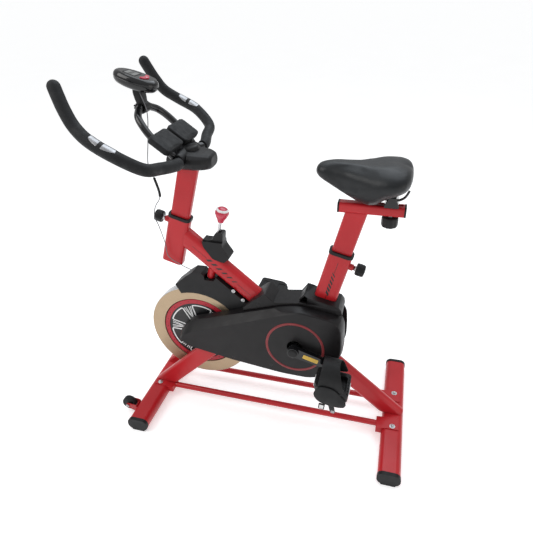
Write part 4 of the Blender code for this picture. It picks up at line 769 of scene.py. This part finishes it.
def make_strap_flap(side, word):
    """The near strap's wide outer flap, its buckle with a reflector and the loose tail below it."""
    place = pedal_matrix(side)
    body = word + "_pedal_unit"
    outer = side * (PEDAL_OUTER_Y + 0.0010)
    rows = [
        (0.034, -0.036, 0.006, 0.0),
        (0.018, -0.045, 0.022, 0.0025),
        (0.004, -0.052, 0.040, 0.0045),
        (-0.012, -0.050, 0.050, 0.0050),
        (-0.026, -0.038, 0.048, 0.0040),
        (-0.034, -0.022, 0.040, 0.0030),
    ]
    bm = bmesh.new()
    rings = []
    for z, low, high, bulge in rows:
        near, far = [], []
        for k in range(9):
            share = k / 8
            crown = bulge * math.sin(math.pi * share)
            x = low + (high - low) * share
            near.append(place @ Vector((x, outer + side * crown, z)))
            far.append(place @ Vector((x, outer + side * (crown + 0.0030), z)))
        rings.append([*near, *reversed(far)])
    add_rings(bm, rings)
    flap = add_piece(word + "_strap_flap", bm, RUBBER, body)
    smooth = flap.modifiers.new("smooth", "SUBSURF")
    smooth.levels = 2
    smooth.render_levels = 2

    facing = place @ basis((-0.020, outer + side * 0.0035, -0.044), (1, 0, 0), (0, 0, 1), (0, side, 0))
    bm = bmesh.new()
    frame_line = rounded_outline(rectangle(0.0095, 0.0100), 0.003, 4)
    add_prism(bm, frame_line, -0.0025, 0.0020, facing)
    buckle = add_piece(word + "_strap_buckle", bm, GLOSS, body)
    round_edges(buckle, 0.0010, 2, 40.0)
    bm = bmesh.new()
    pane = rounded_outline(rectangle(0.0062, 0.0068), 0.0015, 3)
    add_prism(bm, pane, 0.0015, 0.0026, facing)
    add_piece(word + "_strap_reflector", bm, WHITE_INK, body, smooth=False)

    bm = bmesh.new()
    rings = []
    for k in range(7):
        share = k / 6
        away = outer + side * (0.004 - 0.006 * share**2)
        middle = Vector((0.006 + 0.010 * share, away, -0.026 - 0.036 * share))
        wide = 0.0085 - 0.0012 * share**4
        corners = ((-wide, -0.0012), (wide, -0.0012), (wide, 0.0012), (-wide, 0.0012))
        rings.append([place @ (middle + Vector((x, side * y, 0))) for x, y in corners])
    add_rings(bm, rings)
    tail = add_piece(word + "_strap_tail", bm, RUBBER, body)
    round_edges(tail, 0.0005, 2, 40.0)
    tip = place @ basis((0.0155, outer - side * 0.0006, -0.057), (1, 0, 0), (0, 0, 1), (0, side, 0))
    bm = bmesh.new()
    corners = [(-0.0055, -0.0055), (0.0055, -0.0055), (0.0055, 0.0045), (-0.0055, 0.0045)]
    patch = rounded_outline(corners, 0.0018, 3)
    add_prism(bm, patch, 0.0010, 0.0026, tip)
    add_piece(word + "_strap_tip", bm, PLATE, body, smooth=False)


def make_strap(word):
    """The broad moulded strap, smooth over its arch, with raised edges."""
    piece = NODES[word + "_pedal_strap"]
    piece.modifiers.clear()
    weld = piece.modifiers.new("weld", "WELD")
    weld.merge_threshold = 1e-5
    smooth = piece.modifiers.new("smooth", "SUBSURF")
    smooth.levels = 2
    smooth.render_levels = 2
    piece.data.shade_smooth()


# ---------------------------------------------------------------- bolts and stripes


def add_bolt(bm, place, direction, size):
    """Washer and domed hexagon head."""
    seat = along(place, direction)
    rim = size * 1.55
    add_dome(bm, [(rim, -0.0004), (rim, 0.0010), (size * 1.45, 0.0014), (0.0001, 0.0014)], seat, 32)
    add_prism(bm, arc((0, 0), size, 0, 300, 5), 0.0012, size * 0.75, seat)
    lift = size * 0.74
    crown = [
        (size * 0.86, lift),
        (size * 0.74, lift + size * 0.24),
        (size * 0.4, lift + size * 0.42),
        (0.0001, lift + size * 0.48),
    ]
    add_dome(bm, crown, seat, 24)


def make_bolts():
    """Frame bolts: the cross feet, the wheel guard, the transport wheels and the axle ends."""
    bm = bmesh.new()
    for foot in ("front_foot", "rear_foot"):
        low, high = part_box(foot)
        middle_x = (low.x + high.x) / 2
        for side, word in SIDES:
            add_bolt(bm, (middle_x, side * 0.077, high.z + 0.0034), (0, 0, 1), 0.0062)
    for x, z in ((-0.098, 0.475), (-0.067, 0.444)):
        for side, word in SIDES:
            add_bolt(bm, (x, side * 0.0252, z), (0, side, 0), 0.0042)
    bolts = add_piece("frame_bolts", bm, STEEL, "frame")
    round_edges(bolts, 0.0003, 1, 40.0)
    bm = bmesh.new()
    for side, word in SIDES:
        low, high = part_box(word + "_wheel_bracket")
        place = Vector((-0.4655, 0.0, 0.038))
        for end, away in ((low.y, -1), (high.y, 1)):
            add_bolt(bm, (place.x, end, place.z), (0, away, 0), 0.0042)
    ends = add_piece("caster_bolts", bm, STEEL, "frame")
    round_edges(ends, 0.0003, 1, 40.0)


def make_stripes():
    """Generic pin stripes and slanted dashes along the beam and the seat tube."""
    bm = bmesh.new()
    up = Vector((-BEAM_AXIS.z, 0, BEAM_AXIS.x))
    for side in (-1, 1):
        start = CRANK + Vector((0, side * (BEAM_HALF_WIDTH + 0.0001), 0)) - BEAM_AXIS * 0.455
        place = basis(start, BEAM_AXIS, up, Vector((0, side, 0)))
        if side < 0:
            place = basis(start, BEAM_AXIS, up, BEAM_AXIS.cross(up))
        add_stripe_set(bm, place, 0.245, 0.0062)
        start = SEAT_BASE + SEAT_AXIS * 0.175 + Vector((0, side * (SLEEVE_HALF_WIDTH + 0.0001), 0))
        across = SEAT_AXIS.cross(Vector((0, 1, 0)))
        place = basis(start, SEAT_AXIS, across, SEAT_AXIS.cross(across))
        add_stripe_set(bm, place, 0.160, 0.0055)
    add_piece("frame_stripes", bm, STRIPE_INK, "frame", smooth=False)


def add_stripe_set(bm, place, length, half):
    """One long line with a block of slanted dashes in its middle."""
    thin = 0.0002
    quarter = length * 0.24
    add_stroke(bm, [(0.0, 0.0), (quarter, 0.0)], 0.0012, -thin, thin, place)
    add_stroke(bm, [(length - quarter, 0.0), (length, 0.0)], 0.0012, -thin, thin, place)
    dashes = 6
    for i in range(dashes):
        x = quarter + (length - 2 * quarter) * (i + 0.5) / dashes
        wide = 0.0052 - 0.0005 * i
        points = [
            (x - 0.006 - wide, -half),
            (x - 0.006 + wide, -half),
            (x + 0.006 + wide, half),
            (x + 0.006 - wide, half),
        ]
        add_prism(bm, points, -thin, thin, place)


# ---------------------------------------------------------------- handlebar


def bar_path(side):
    """Route of one half of the handlebar, from the clamp out to the grip's end."""
    points = [
        (CLAMP_CENTRE.x, 0.060, CLAMP_CENTRE.z),
        (-0.208, 0.099, 0.915),
        (-0.225, 0.165, 0.925),
        (-0.238, 0.224, 0.942),
        (-0.292, 0.257, 0.982),
        (-0.352, 0.256, 1.014),
        (-0.393, 0.244, 1.043),
        (-0.416, 0.236, 1.077),
        (-0.432, 0.228, 1.110),
        (-0.446, 0.220, 1.1435),
    ]
    return [Vector((x, side * y, z)) for x, y, z in points]


def make_bars():
    """Round handlebar, foam grips with domed ends, and the loop bar."""
    left = smooth_path(bar_path(-1), 8)[:-7]
    right = smooth_path(bar_path(1), 8)[:-7]
    bm = bmesh.new()
    add_tube(bm, [*reversed(left), *right], BAR_RADIUS, 28)
    bar = add_piece("handlebar_tube", bm, GLOSS, "handlebar_unit")
    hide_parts("handlebar")
    for side, word in SIDES:
        path = smooth_path(bar_path(side), 8)
        bm = bmesh.new()
        add_tube(bm, path[6:-3], GRIP_RADIUS, 36, round_end=True)
        grip = add_piece(word + "_grip_foam", bm, FOAM, "handlebar_unit")
        round_edges(grip, 0.0015, 3, 50.0)
        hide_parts(word + "_grip")
        make_pulse_sensor(side, word, path)
    half = [
        (CLAMP_CENTRE.x, 0.066, CLAMP_CENTRE.z),
        (-0.240, 0.069, 0.937),
        (-0.263, 0.075, 0.960),
        (-0.286, 0.078, 0.9815),
        (-0.309, 0.0712, 1.006),
        (-0.3265, 0.058, 1.024),
        (-0.336, 0.038, 1.034),
        (LOOP_TOP.x, 0.0175, LOOP_TOP.z),
    ]
    right = [Vector(p) for p in half]
    left = [Vector((x, -y, z)) for x, y, z in reversed(half)]
    path = smooth_path([*right, *left], 6)
    bm = bmesh.new()
    add_tube(bm, path[3:-3], LOOP_RADIUS, 28)
    loop = add_piece("loop_bar", bm, GLOSS, "handlebar_unit")
    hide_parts("aero_loop")


def make_pulse_sensor(side, word, path):
    """Two bright plates and a dark divider let into the top of the grip."""
    first = min(range(len(path)), key=lambda i: (path[i] - Vector((-0.285, side * 0.2545, 0.977))).length)
    last = min(range(len(path)), key=lambda i: (path[i] - Vector((-0.358, side * 0.2555, 1.0175))).length)
    frames = path_frames(path)[first : last + 1]
    facing = Vector((0.45, -0.10 * side, 1.0))
    parts = (
        ("sensor_bed", 0.0, 1.0, 0.0002, 72.0, FOAM, "foam"),
        ("sensor_plate_rear", 0.09, 0.44, 0.0009, 62.0, PLATE, "steel"),
        ("sensor_divider", 0.44, 0.56, 0.0007, 60.0, PLASTIC, "black_plastic"),
        ("sensor_plate_front", 0.56, 0.91, 0.0009, 62.0, PLATE, "steel"),
    )
    for name, start, end, proud, spread, material, slot in parts:
        bm = bmesh.new()
        rings = []
        steps = 14
        for k in range(steps + 1):
            t = start + (end - start) * k / steps
            place, tangent, out = sample_frame(frames, t, facing)
            width = math.radians(spread) * max(0.04, math.sqrt(max(0.0, 1 - (2 * t - 1) ** 2)))
            across = tangent.cross(out)
            low, high = [], []
            for j in range(13):
                angle = width * (j / 6 - 1)
                ray = out * math.cos(angle) + across * math.sin(angle)
                low.append(place + ray * (GRIP_RADIUS - 0.0008))
                high.append(place + ray * (GRIP_RADIUS + proud))
            rings.append([*low, *reversed(high)])
        add_rings(bm, rings)
        piece = add_piece(word + "_" + name, bm, material, "handlebar_unit")
        round_edges(piece, 0.0003, 2, 40.0)


def sample_frame(frames, t, facing):
    """Place, tangent and outward direction at a share of a run of path frames."""
    spot = t * (len(frames) - 1)
    i = min(int(spot), len(frames) - 2)
    share = spot - i
    place = frames[i][0].lerp(frames[i + 1][0], share)
    tangent = frames[i][1].lerp(frames[i + 1][1], share).normalized()
    out = (facing - tangent * facing.dot(tangent)).normalized()
    return place, tangent, out


def make_clamp_cover():
    """Black sleeve over the clamp, the round boss on the shroud and the plate under the pads."""
    ring = along(CLAMP_CENTRE, (0, 1, 0))
    half = [
        (0.0130, 0.066),
        (0.0168, 0.066),
        (0.0180, 0.063),
        (0.0190, 0.050),
        (0.0212, 0.042),
        (0.0220, 0.030),
    ]
    bm = bmesh.new()
    add_turned(bm, [*half, *((r, -y) for r, y in reversed(half))], ring, 48)
    sleeve = add_piece("clamp_sleeve", bm, PLASTIC, "handlebar_unit")
    round_edges(sleeve, 0.0006, 2, 40.0)
    tilt = Vector((-0.25, 0.0, 1.0))
    bm = bmesh.new()
    profile = [
        (0.026, -0.014),
        (0.026, 0.006),
        (0.0245, 0.0095),
        (0.020, 0.0118),
        (0.010, 0.0128),
        (0.0001, 0.0130),
    ]
    add_dome(bm, profile, along(CLAMP_CENTRE + Vector((0.014, 0, 0.012)), tilt), 48)
    add_piece("shroud_boss", bm, PLASTIC, "handlebar_unit")
    down = Vector((math.cos(PAD_SLOPE), 0, -math.sin(PAD_SLOPE)))
    up = Vector((math.sin(PAD_SLOPE), 0, math.cos(PAD_SLOPE)))
    place = basis(PAD_FRONT, down, Vector((0, 1, 0)), up)
    corners = [
        (0.010, -0.050),
        (0.055, -0.058),
        (0.094, -0.040),
        (0.094, 0.040),
        (0.055, 0.058),
        (0.010, 0.050),
    ]
    bm = bmesh.new()
    add_prism(bm, rounded_outline(corners, 0.008), -0.0245, -0.0206, place)
    plate = add_piece("pad_plate", bm, PLASTIC, "handlebar_unit")
    round_edges(plate, 0.0008, 2, 40.0)


# ---------------------------------------------------------------- console


def console_matrix():
    """Frame of the display unit: X rearwards down its slope, Z out of its face."""
    down = Vector((math.cos(CONSOLE_SLOPE), 0, -math.sin(CONSOLE_SLOPE)))
    up = Vector((math.sin(CONSOLE_SLOPE), 0, math.cos(CONSOLE_SLOPE)))
    return basis(CONSOLE_CENTRE, down, Vector((0, 1, 0)), up)


def egg(scale, steps=64):
    """Outline of the display unit: round in front, squarer behind."""
    points = []
    for i in range(steps):
        angle = 2 * math.pi * i / steps
        c, s = math.cos(angle), math.sin(angle)
        power = 0.80 if c > 0 else 1.0
        x = CONSOLE_HALF_LENGTH * scale * math.copysign(abs(c) ** power, c)
        y = CONSOLE_HALF_WIDTH * scale * math.copysign(abs(s) ** 0.92, s)
        points.append((x, y))
    return points


def make_console():
    """Display unit: two shells with a parting line, a glossy face, a window and a clip."""
    place = console_matrix()
    levels = [
        (-0.0205, 0.60),
        (-0.0192, 0.74),
        (-0.0155, 0.90),
        (-0.0095, 0.975),
        (-0.0012, 1.0),
        (-0.0008, 0.985),
        (0.0002, 0.985),
        (0.0006, 1.0),
        (0.0060, 0.985),
        (0.0105, 0.94),
        (0.0135, 0.875),
        (0.0150, 0.80),
        (0.0150, 0.775),
    ]
    bm = bmesh.new()
    add_rings(bm, [[place @ Vector((x, y, z)) for x, y in egg(scale)] for z, scale in levels])
    shell = add_piece("console_shell", bm, GLOSS, "console_unit")
    round_edges(shell, 0.0003, 1, 40.0)
    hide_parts("console")

    bm = bmesh.new()
    window = [(-0.030, -0.0150), (0.002, -0.0165), (0.002, 0.0165), (-0.030, 0.0150)]
    outer = rounded_outline([(-0.034, -0.0185), (0.006, -0.0205), (0.006, 0.0205), (-0.034, 0.0185)], 0.005)
    inner = rounded_outline(window, 0.003)
    rings = []
    for outline, z in ((outer, 0.0148), (outer, 0.0157), (inner, 0.0153), (inner, 0.0140)):
        rings.append([place @ Vector((x, y, z)) for x, y in outline])
    add_rings(bm, [*rings, rings[0]], closed_ends=False)
    bmesh.ops.remove_doubles(bm, verts=bm.verts, dist=1e-7)
    bezel = add_piece("console_bezel", bm, PLASTIC, "console_unit")
    round_edges(bezel, 0.0003, 2, 40.0)
    bm = bmesh.new()
    add_prism(bm, inner, 0.0142, 0.0151, place)
    add_piece("console_window", bm, DISPLAY, "console_unit", smooth=False)
    bm = bmesh.new()
    add_digits(bm, place)
    add_piece("console_digits", bm, BLACK_INK, "console_unit", smooth=False)
    bm = bmesh.new()
    dot = place @ Matrix.Translation((0.031, 0.0, 0.0172))
    add_dome(bm, [(0.0022, -0.0002), (0.0022, 0.0003), (0.0001, 0.0004)], dot, 20)
    add_piece("console_key_dot", bm, WHITE_INK, "console_key")
    make_console_clip(place)


def add_digits(bm, place):
    """A row of four seven-segment noughts, as a display shows at rest."""
    for k in range(4):
        y = -0.0105 + 0.0070 * k
        box = [(-0.019, y - 0.0019), (-0.010, y - 0.0019), (-0.010, y + 0.0019), (-0.019, y + 0.0019)]
        for i in range(4):
            a, b = Vector(box[i]), Vector(box[(i + 1) % 4])
            run = (b - a).normalized() * 0.0006
            add_stroke(bm, [a + run, b - run], 0.0008, 0.0149, 0.0153, place)


def make_console_clip(place):
    """Neck and split clip round the loop bar, with its pinch screw."""
    neck_top = place @ Vector((0.006, 0, -0.014))
    neck_low = LOOP_TOP + Vector((0, 0, 0.004))
    direction = (neck_top - neck_low).normalized()
    seat = along(neck_low, direction)
    height = (neck_top - neck_low).length
    bm = bmesh.new()
    rings = []
    for share, scale in ((0.0, 1.00), (0.15, 1.22), (0.4, 1.36), (0.7, 1.42), (0.88, 1.30), (1.0, 1.55)):
        outline = rounded_outline(rectangle(0.013, 0.0082), 0.004)
        rings.append([seat @ Vector((x * scale, y * scale, height * share)) for x, y in outline])
    add_rings(bm, rings)
    add_piece("console_neck", bm, PLASTIC, "console_unit")
    bm = bmesh.new()
    ring = along(LOOP_TOP, (0, 1, 0))
    add_turned(
        bm,
        [
            (0.0115, -0.0150),
            (0.0158, -0.0150),
            (0.0168, -0.0138),
            (0.0168, 0.0138),
            (0.0158, 0.0150),
            (0.0115, 0.0150),
        ],
        ring,
        48,
    )
    lug = rounded_outline([(-0.026, -0.0075), (-0.012, -0.0085), (-0.012, 0.0085), (-0.026, 0.0075)], 0.003)
    lug_place = basis(LOOP_TOP, (1, 0, 0), (0, 1, 0), (0, 0, 1))
    add_prism(bm, lug, 0.0010, 0.0052, lug_place)
    add_prism(bm, lug, -0.0052, -0.0010, lug_place)
    clip = add_piece("console_clip", bm, PLASTIC, "console_unit")
    round_edges(clip, 0.0006, 2, 40.0)
    bm = bmesh.new()
    add_bolt(bm, LOOP_TOP + Vector((-0.021, 0, 0.0052)), (0, 0, 1), 0.0026)
    add_piece("console_clip_screw", bm, STEEL, "console_unit")


# ---------------------------------------------------------------- lead


def make_lead():
    """The sensor lead from the console to the flywheel guard, with its thicker sleeve."""
    route = [
        (-0.334, -0.019, 1.086),
        (-0.319, -0.020, 1.032),
        (-0.329, -0.021, 0.953),
        (-0.337, -0.026, 0.885),
        (-0.319, -0.034, 0.845),
        (-0.309, -0.034, 0.791),
        (-0.330, -0.034, 0.754),
        (-0.338, -0.034, 0.720),
        (-0.328, -0.034, 0.690),
        (-0.315, -0.033, 0.629),
        (-0.310, -0.032, 0.581),
        (-0.266, -0.030, 0.552),
        (-0.240, -0.020, 0.5325),
    ]
    path = smooth_path(route, 8)
    bm = bmesh.new()
    add_tube(bm, path, 0.0013, 12)
    lead = add_piece("sensor_lead", bm, LEAD, None)
    sleeve_path = [p for p in path if 0.789 < p.z < 0.847]
    bm = bmesh.new()
    add_tube(bm, sleeve_path, 0.0038, 20, round_start=True, round_end=True)
    sleeve = add_piece("lead_sleeve", bm, RUBBER, None)
    for piece in (lead, sleeve):
        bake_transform(piece)
    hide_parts("sensor_wire")


# ---------------------------------------------------------------- knobs


def make_lobed_knob(name, origin, direction, radius, height, body, cad_node, lobes=8, stem=0.012):
    """Hand knob with rounded lobes, on a bright stem."""
    seat = along(origin, direction)
    bm = bmesh.new()
    steps = lobes * 12
    rings = []
    swell = [
        (0.0, 0.84),
        (0.0012, 0.93),
        (0.004, 0.99),
        (height * 0.5, 1.0),
        (height - 0.005, 0.985),
        (height - 0.0015, 0.92),
        (height, 0.80),
    ]
    for z, scale in swell:
        ring = []
        for i in range(steps):
            angle = 2 * math.pi * i / steps
            bulge = 1 + 0.045 * math.copysign(abs(math.cos(lobes * angle / 2)) ** 1.4, 1) - 0.03
            reach = radius * scale * bulge
            ring.append(seat @ Vector((reach * math.cos(angle), reach * math.sin(angle), z)))
        rings.append(ring)
    add_rings(bm, rings)
    knob = add_piece(name + "_grip", bm, PLASTIC, body)
    round_edges(knob, 0.0004, 1, 50.0)
    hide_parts(cad_node)
    bm = bmesh.new()
    badge = [
        (radius * 0.55, height - 0.0002),
        (radius * 0.55, height + 0.0006),
        (radius * 0.48, height + 0.0010),
        (0.0001, height + 0.0011),
    ]
    add_dome(bm, badge, seat, 32)
    add_piece(name + "_badge", bm, BLACK_INK, body)
    bm = bmesh.new()
    add_dome(bm, [(0.0072, -stem), (0.0072, -0.0035), (0.0085, -0.0030), (0.0085, 0.0008)], seat, 32)
    add_piece(name + "_stem", bm, STEEL, body)


def make_knobs():
    """Pull pins of both posts and the saddle clamp's knob."""
    for name, base, axis, root_z, side, body in (
        ("bar_post_knob", HEAD_BASE, HEAD_AXIS, 0.690, -1, "bar_knob_unit"),
        ("seat_post_knob", SEAT_BASE, SEAT_AXIS, 0.612, 1, "seat_knob_unit"),
    ):
        root = base + axis * ((root_z - base.z) / axis.z)
        out = Vector((axis.z * side, 0, -axis.x * side))
        make_lobed_knob(name, root + out * 0.056, out, 0.0190, 0.026, body, name)
    seat = (0.365, 0, 0.777)
    body = "saddle_knob_unit"
    make_lobed_knob("saddle_knob", seat, (0, 0, -1), 0.0225, 0.030, body, "saddle_knob", 10, 0.0032)


def make_brake_knob_band():
    """White band round the brake knob's crown."""
    base = WHEEL + BRAKE_AXIS * 0.441
    bm = bmesh.new()
    add_turned(
        bm,
        [(0.0190, 0.0395), (0.0200, 0.0408), (0.0178, 0.0436), (0.0150, 0.0458), (0.0140, 0.0440)],
        along(base, BRAKE_AXIS),
        64,
    )
    add_piece("brake_knob_band", bm, WHITE_INK, "brake_screw_unit")


# ---------------------------------------------------------------- soft pieces


def copy_node(node, name, shrink=0.0):
    """A welded copy of a CAD node's mesh, its skin moved in a little."""
    bm = bmesh.new()
    bm.from_mesh(NODES[node].data)
    bmesh.ops.remove_doubles(bm, verts=bm.verts, dist=1e-5)
    bmesh.ops.recalc_face_normals(bm, faces=bm.faces)
    if shrink:
        bm.normal_update()
        for vert in bm.verts:
            vert.co -= vert.normal * shrink
    mesh = bpy.data.meshes.new(name)
    bm.to_mesh(mesh)
    bm.free()
    obj = bpy.data.objects.new(name, mesh)
    bpy.context.scene.collection.objects.link(obj)
    return obj


def bake_modifiers(obj):
    """Replaces a piece's mesh with what its modifiers make of it."""
    bpy.context.view_layer.update()
    graph = bpy.context.evaluated_depsgraph_get()
    mesh = bpy.data.meshes.new_from_object(obj.evaluated_get(graph))
    obj.modifiers.clear()
    obj.data = mesh


def voxel_skin(obj, size):
    remesh = obj.modifiers.new("remesh", "REMESH")
    remesh.mode = "VOXEL"
    remesh.voxel_size = size
    bake_modifiers(obj)


def relax(obj, factor, rounds):
    smooth = obj.modifiers.new("smooth", "SMOOTH")
    smooth.factor = factor
    smooth.iterations = rounds
    bake_modifiers(obj)


def inflate(obj, pressure, limit):
    """Cloth pressure fills the cover, and no point moves further than the limit."""
    start = [vert.co.copy() for vert in obj.data.vertices]
    cloth = obj.modifiers.new("cloth", "CLOTH")
    cloth.settings.use_pressure = True
    cloth.settings.uniform_pressure_force = pressure
    cloth.settings.effector_weights.gravity = 0.0
    cloth.settings.tension_stiffness = 25.0
    cloth.settings.compression_stiffness = 25.0
    scene = bpy.context.scene
    for number in range(1, 21):
        scene.frame_set(number)
    graph = bpy.context.evaluated_depsgraph_get()
    swollen = [vert.co.copy() for vert in obj.evaluated_get(graph).data.vertices]
    obj.modifiers.clear()
    scene.frame_set(1)
    for vert, before, after in zip(obj.data.vertices, start, swollen):
        move = after - before
        if move.length > limit:
            move = move.normalized() * limit
        vert.co = before + move


def finish_soft(obj, material, body, node, levels=1):
    smooth = obj.modifiers.new("smooth", "SUBSURF")
    smooth.levels = levels
    smooth.render_levels = levels
    bake_modifiers(obj)
    obj.data.materials.clear()
    obj.data.materials.append(material)
    obj.data.shade_smooth()
    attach(obj, body)
    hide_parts(node)


def saddle_section(x, half, top, side_z, keel):
    """Closed ring round the saddle: a dished crown, full flanks and a narrow keel."""
    upper = []
    for k in range(9):
        share = math.sin(math.pi / 2 * k / 8)
        dish = 0.006 * (half / 0.1) * (1 - share) ** 1.5
        upper.append((share * half, side_z + (top - side_z) * math.sqrt(1 - share**2.4) - dish))
    lower = []
    for k in range(1, 9):
        share = k / 8
        width = half * math.cos(math.pi / 2 * share) ** 0.62
        lower.append((width, side_z + (keel - side_z) * math.sin(math.pi / 2 * share) ** 1.15))
    lower[-1] = (0.0, keel)
    right = [*upper, *lower]
    left = [(-y, z) for y, z in reversed(right[1:-1])]
    return [Vector((x, y, z)) for y, z in [*right, *left]]


def make_saddle():
    """Saddle cover over its foam: full flanks down to the keel, filled by cloth pressure."""
    spans = [
        (0.1550, 0.006, 0.9000, 0.897, 0.892),
        (0.1580, 0.018, 0.9085, 0.897, 0.886),
        (0.1660, 0.028, 0.9160, 0.897, 0.879),
        (0.1800, 0.0345, 0.9200, 0.896, 0.871),
        (0.2050, 0.040, 0.9225, 0.894, 0.858),
        (0.2400, 0.049, 0.9225, 0.891, 0.840),
        (0.2750, 0.066, 0.9230, 0.888, 0.824),
        (0.3050, 0.085, 0.9255, 0.888, 0.8175),
        (0.3280, 0.096, 0.9290, 0.889, 0.8250),
        (0.3480, 0.101, 0.9315, 0.891, 0.8420),
        (0.3750, 0.102, 0.9325, 0.893, 0.8550),
        (0.3950, 0.092, 0.9290, 0.895, 0.8650),
        (0.4060, 0.070, 0.9215, 0.897, 0.8760),
        (0.4105, 0.036, 0.9120, 0.898, 0.8870),
    ]
    bm = bmesh.new()
    add_rings(bm, [saddle_section(*span) for span in spans])
    pad = add_piece("saddle_cover", bm, VINYL, None)
    voxel_skin(pad, 0.0045)
    relax(pad, 0.5, 8)
    inflate(pad, 4.0, 0.004)
    relax(pad, 0.5, 3)
    finish_soft(pad, VINYL, "saddle_unit", "saddle")


def make_elbow_pads():
    for _, word in SIDES:
        pad = copy_node(word + "_elbow_pad", word + "_arm_pad", 0.0008)
        voxel_skin(pad, 0.0025)
        relax(pad, 0.5, 2)
        inflate(pad, 3.0, 0.0015)
        finish_soft(pad, FOAM, "handlebar_unit", word + "_elbow_pad")


def make_shroud():
    """Centre cover with its faceted CAD skin smoothed."""
    cover = copy_node("centre_shroud", "shroud_cover")
    voxel_skin(cover, 0.0018)
    relax(cover, 0.5, 5)
    cover.data.materials.clear()
    cover.data.materials.append(PLASTIC)
    cover.data.shade_smooth()
    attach(cover, "handlebar_unit")
    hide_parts("centre_shroud")


# ---------------------------------------------------------------- studio


def make_studio():
    """Pale floor, soft boxes and the camera."""
    bm = bmesh.new()
    bmesh.ops.create_grid(bm, x_segments=2, y_segments=2, size=400.0)
    floor = add_piece("floor", bm, FLOOR, None)
    floor.location.z = -0.0005
    make_sky()
    target = Vector((0.0, 0.0, 0.5))
    for name, place, size, power, colour in (
        ("key", (-1.8, -1.2, 2.4), 1.6, 26.0, (1.0, 0.99, 0.97)),
        ("top", (0.2, 0.9, 2.8), 2.2, 34.0, (0.86, 0.93, 1.0)),
        ("fill", (2.6, -1.2, 1.0), 1.6, 7.0, (1.0, 0.94, 0.88)),
    ):
        light = bpy.data.lights.new(name, "AREA")
        light.size = size
        light.energy = power
        light.color = colour
        lamp = bpy.data.objects.new(name, light)
        bpy.context.scene.collection.objects.link(lamp)
        lamp.location = place
        lamp.rotation_euler = (target - Vector(place)).to_track_quat("-Z", "Y").to_euler()
    make_camera()


def make_sky():
    """Even white above, falling off to grey near the horizon, so that dark faces keep their depth."""
    world = bpy.data.worlds.new("studio")
    bpy.context.scene.world = world
    world.use_nodes = True
    tree = world.node_tree
    where = tree.nodes.new("ShaderNodeTexCoord")
    parts = tree.nodes.new("ShaderNodeSeparateXYZ")
    tree.links.new(where.outputs["Generated"], parts.inputs["Vector"])
    sky = add_ramp(tree, parts.outputs["Z"], [(0.0, (0.55, 0.55, 0.55)), (0.75, (0.86, 0.87, 0.88))])
    background = tree.nodes["Background"]
    background.inputs["Strength"].default_value = 0.80
    tree.links.new(sky, background.inputs["Color"])


def make_camera():
    right = Vector((0.964, 0.265, -0.021)).normalized()
    back = Vector((0.238, -0.826, 0.510)).normalized()
    up = back.cross(right).normalized()
    right = up.cross(back).normalized()
    camera = bpy.data.objects.new("camera", bpy.data.cameras.new("camera"))
    bpy.context.scene.collection.objects.link(camera)
    camera.matrix_world = basis((0.3613, -1.2228, 1.3233), right, up, back)
    camera.data.sensor_width = 36.0
    camera.data.lens = 31.78
    bpy.context.scene.camera = camera


def make_all():
    make_studio()
    dress_cad_nodes()
    make_lead()
    make_flywheel()
    make_cover_details()
    make_crank_details()
    for side, word in SIDES:
        make_pedal_details(side, word)
        make_strap(word)
    make_strap_flap(-1, "left")
    make_bolts()
    make_stripes()
    make_bars()
    make_clamp_cover()
    make_console()
    make_knobs()
    make_brake_knob_band()
    make_shroud()
    make_elbow_pads()
    make_saddle()


make_all()
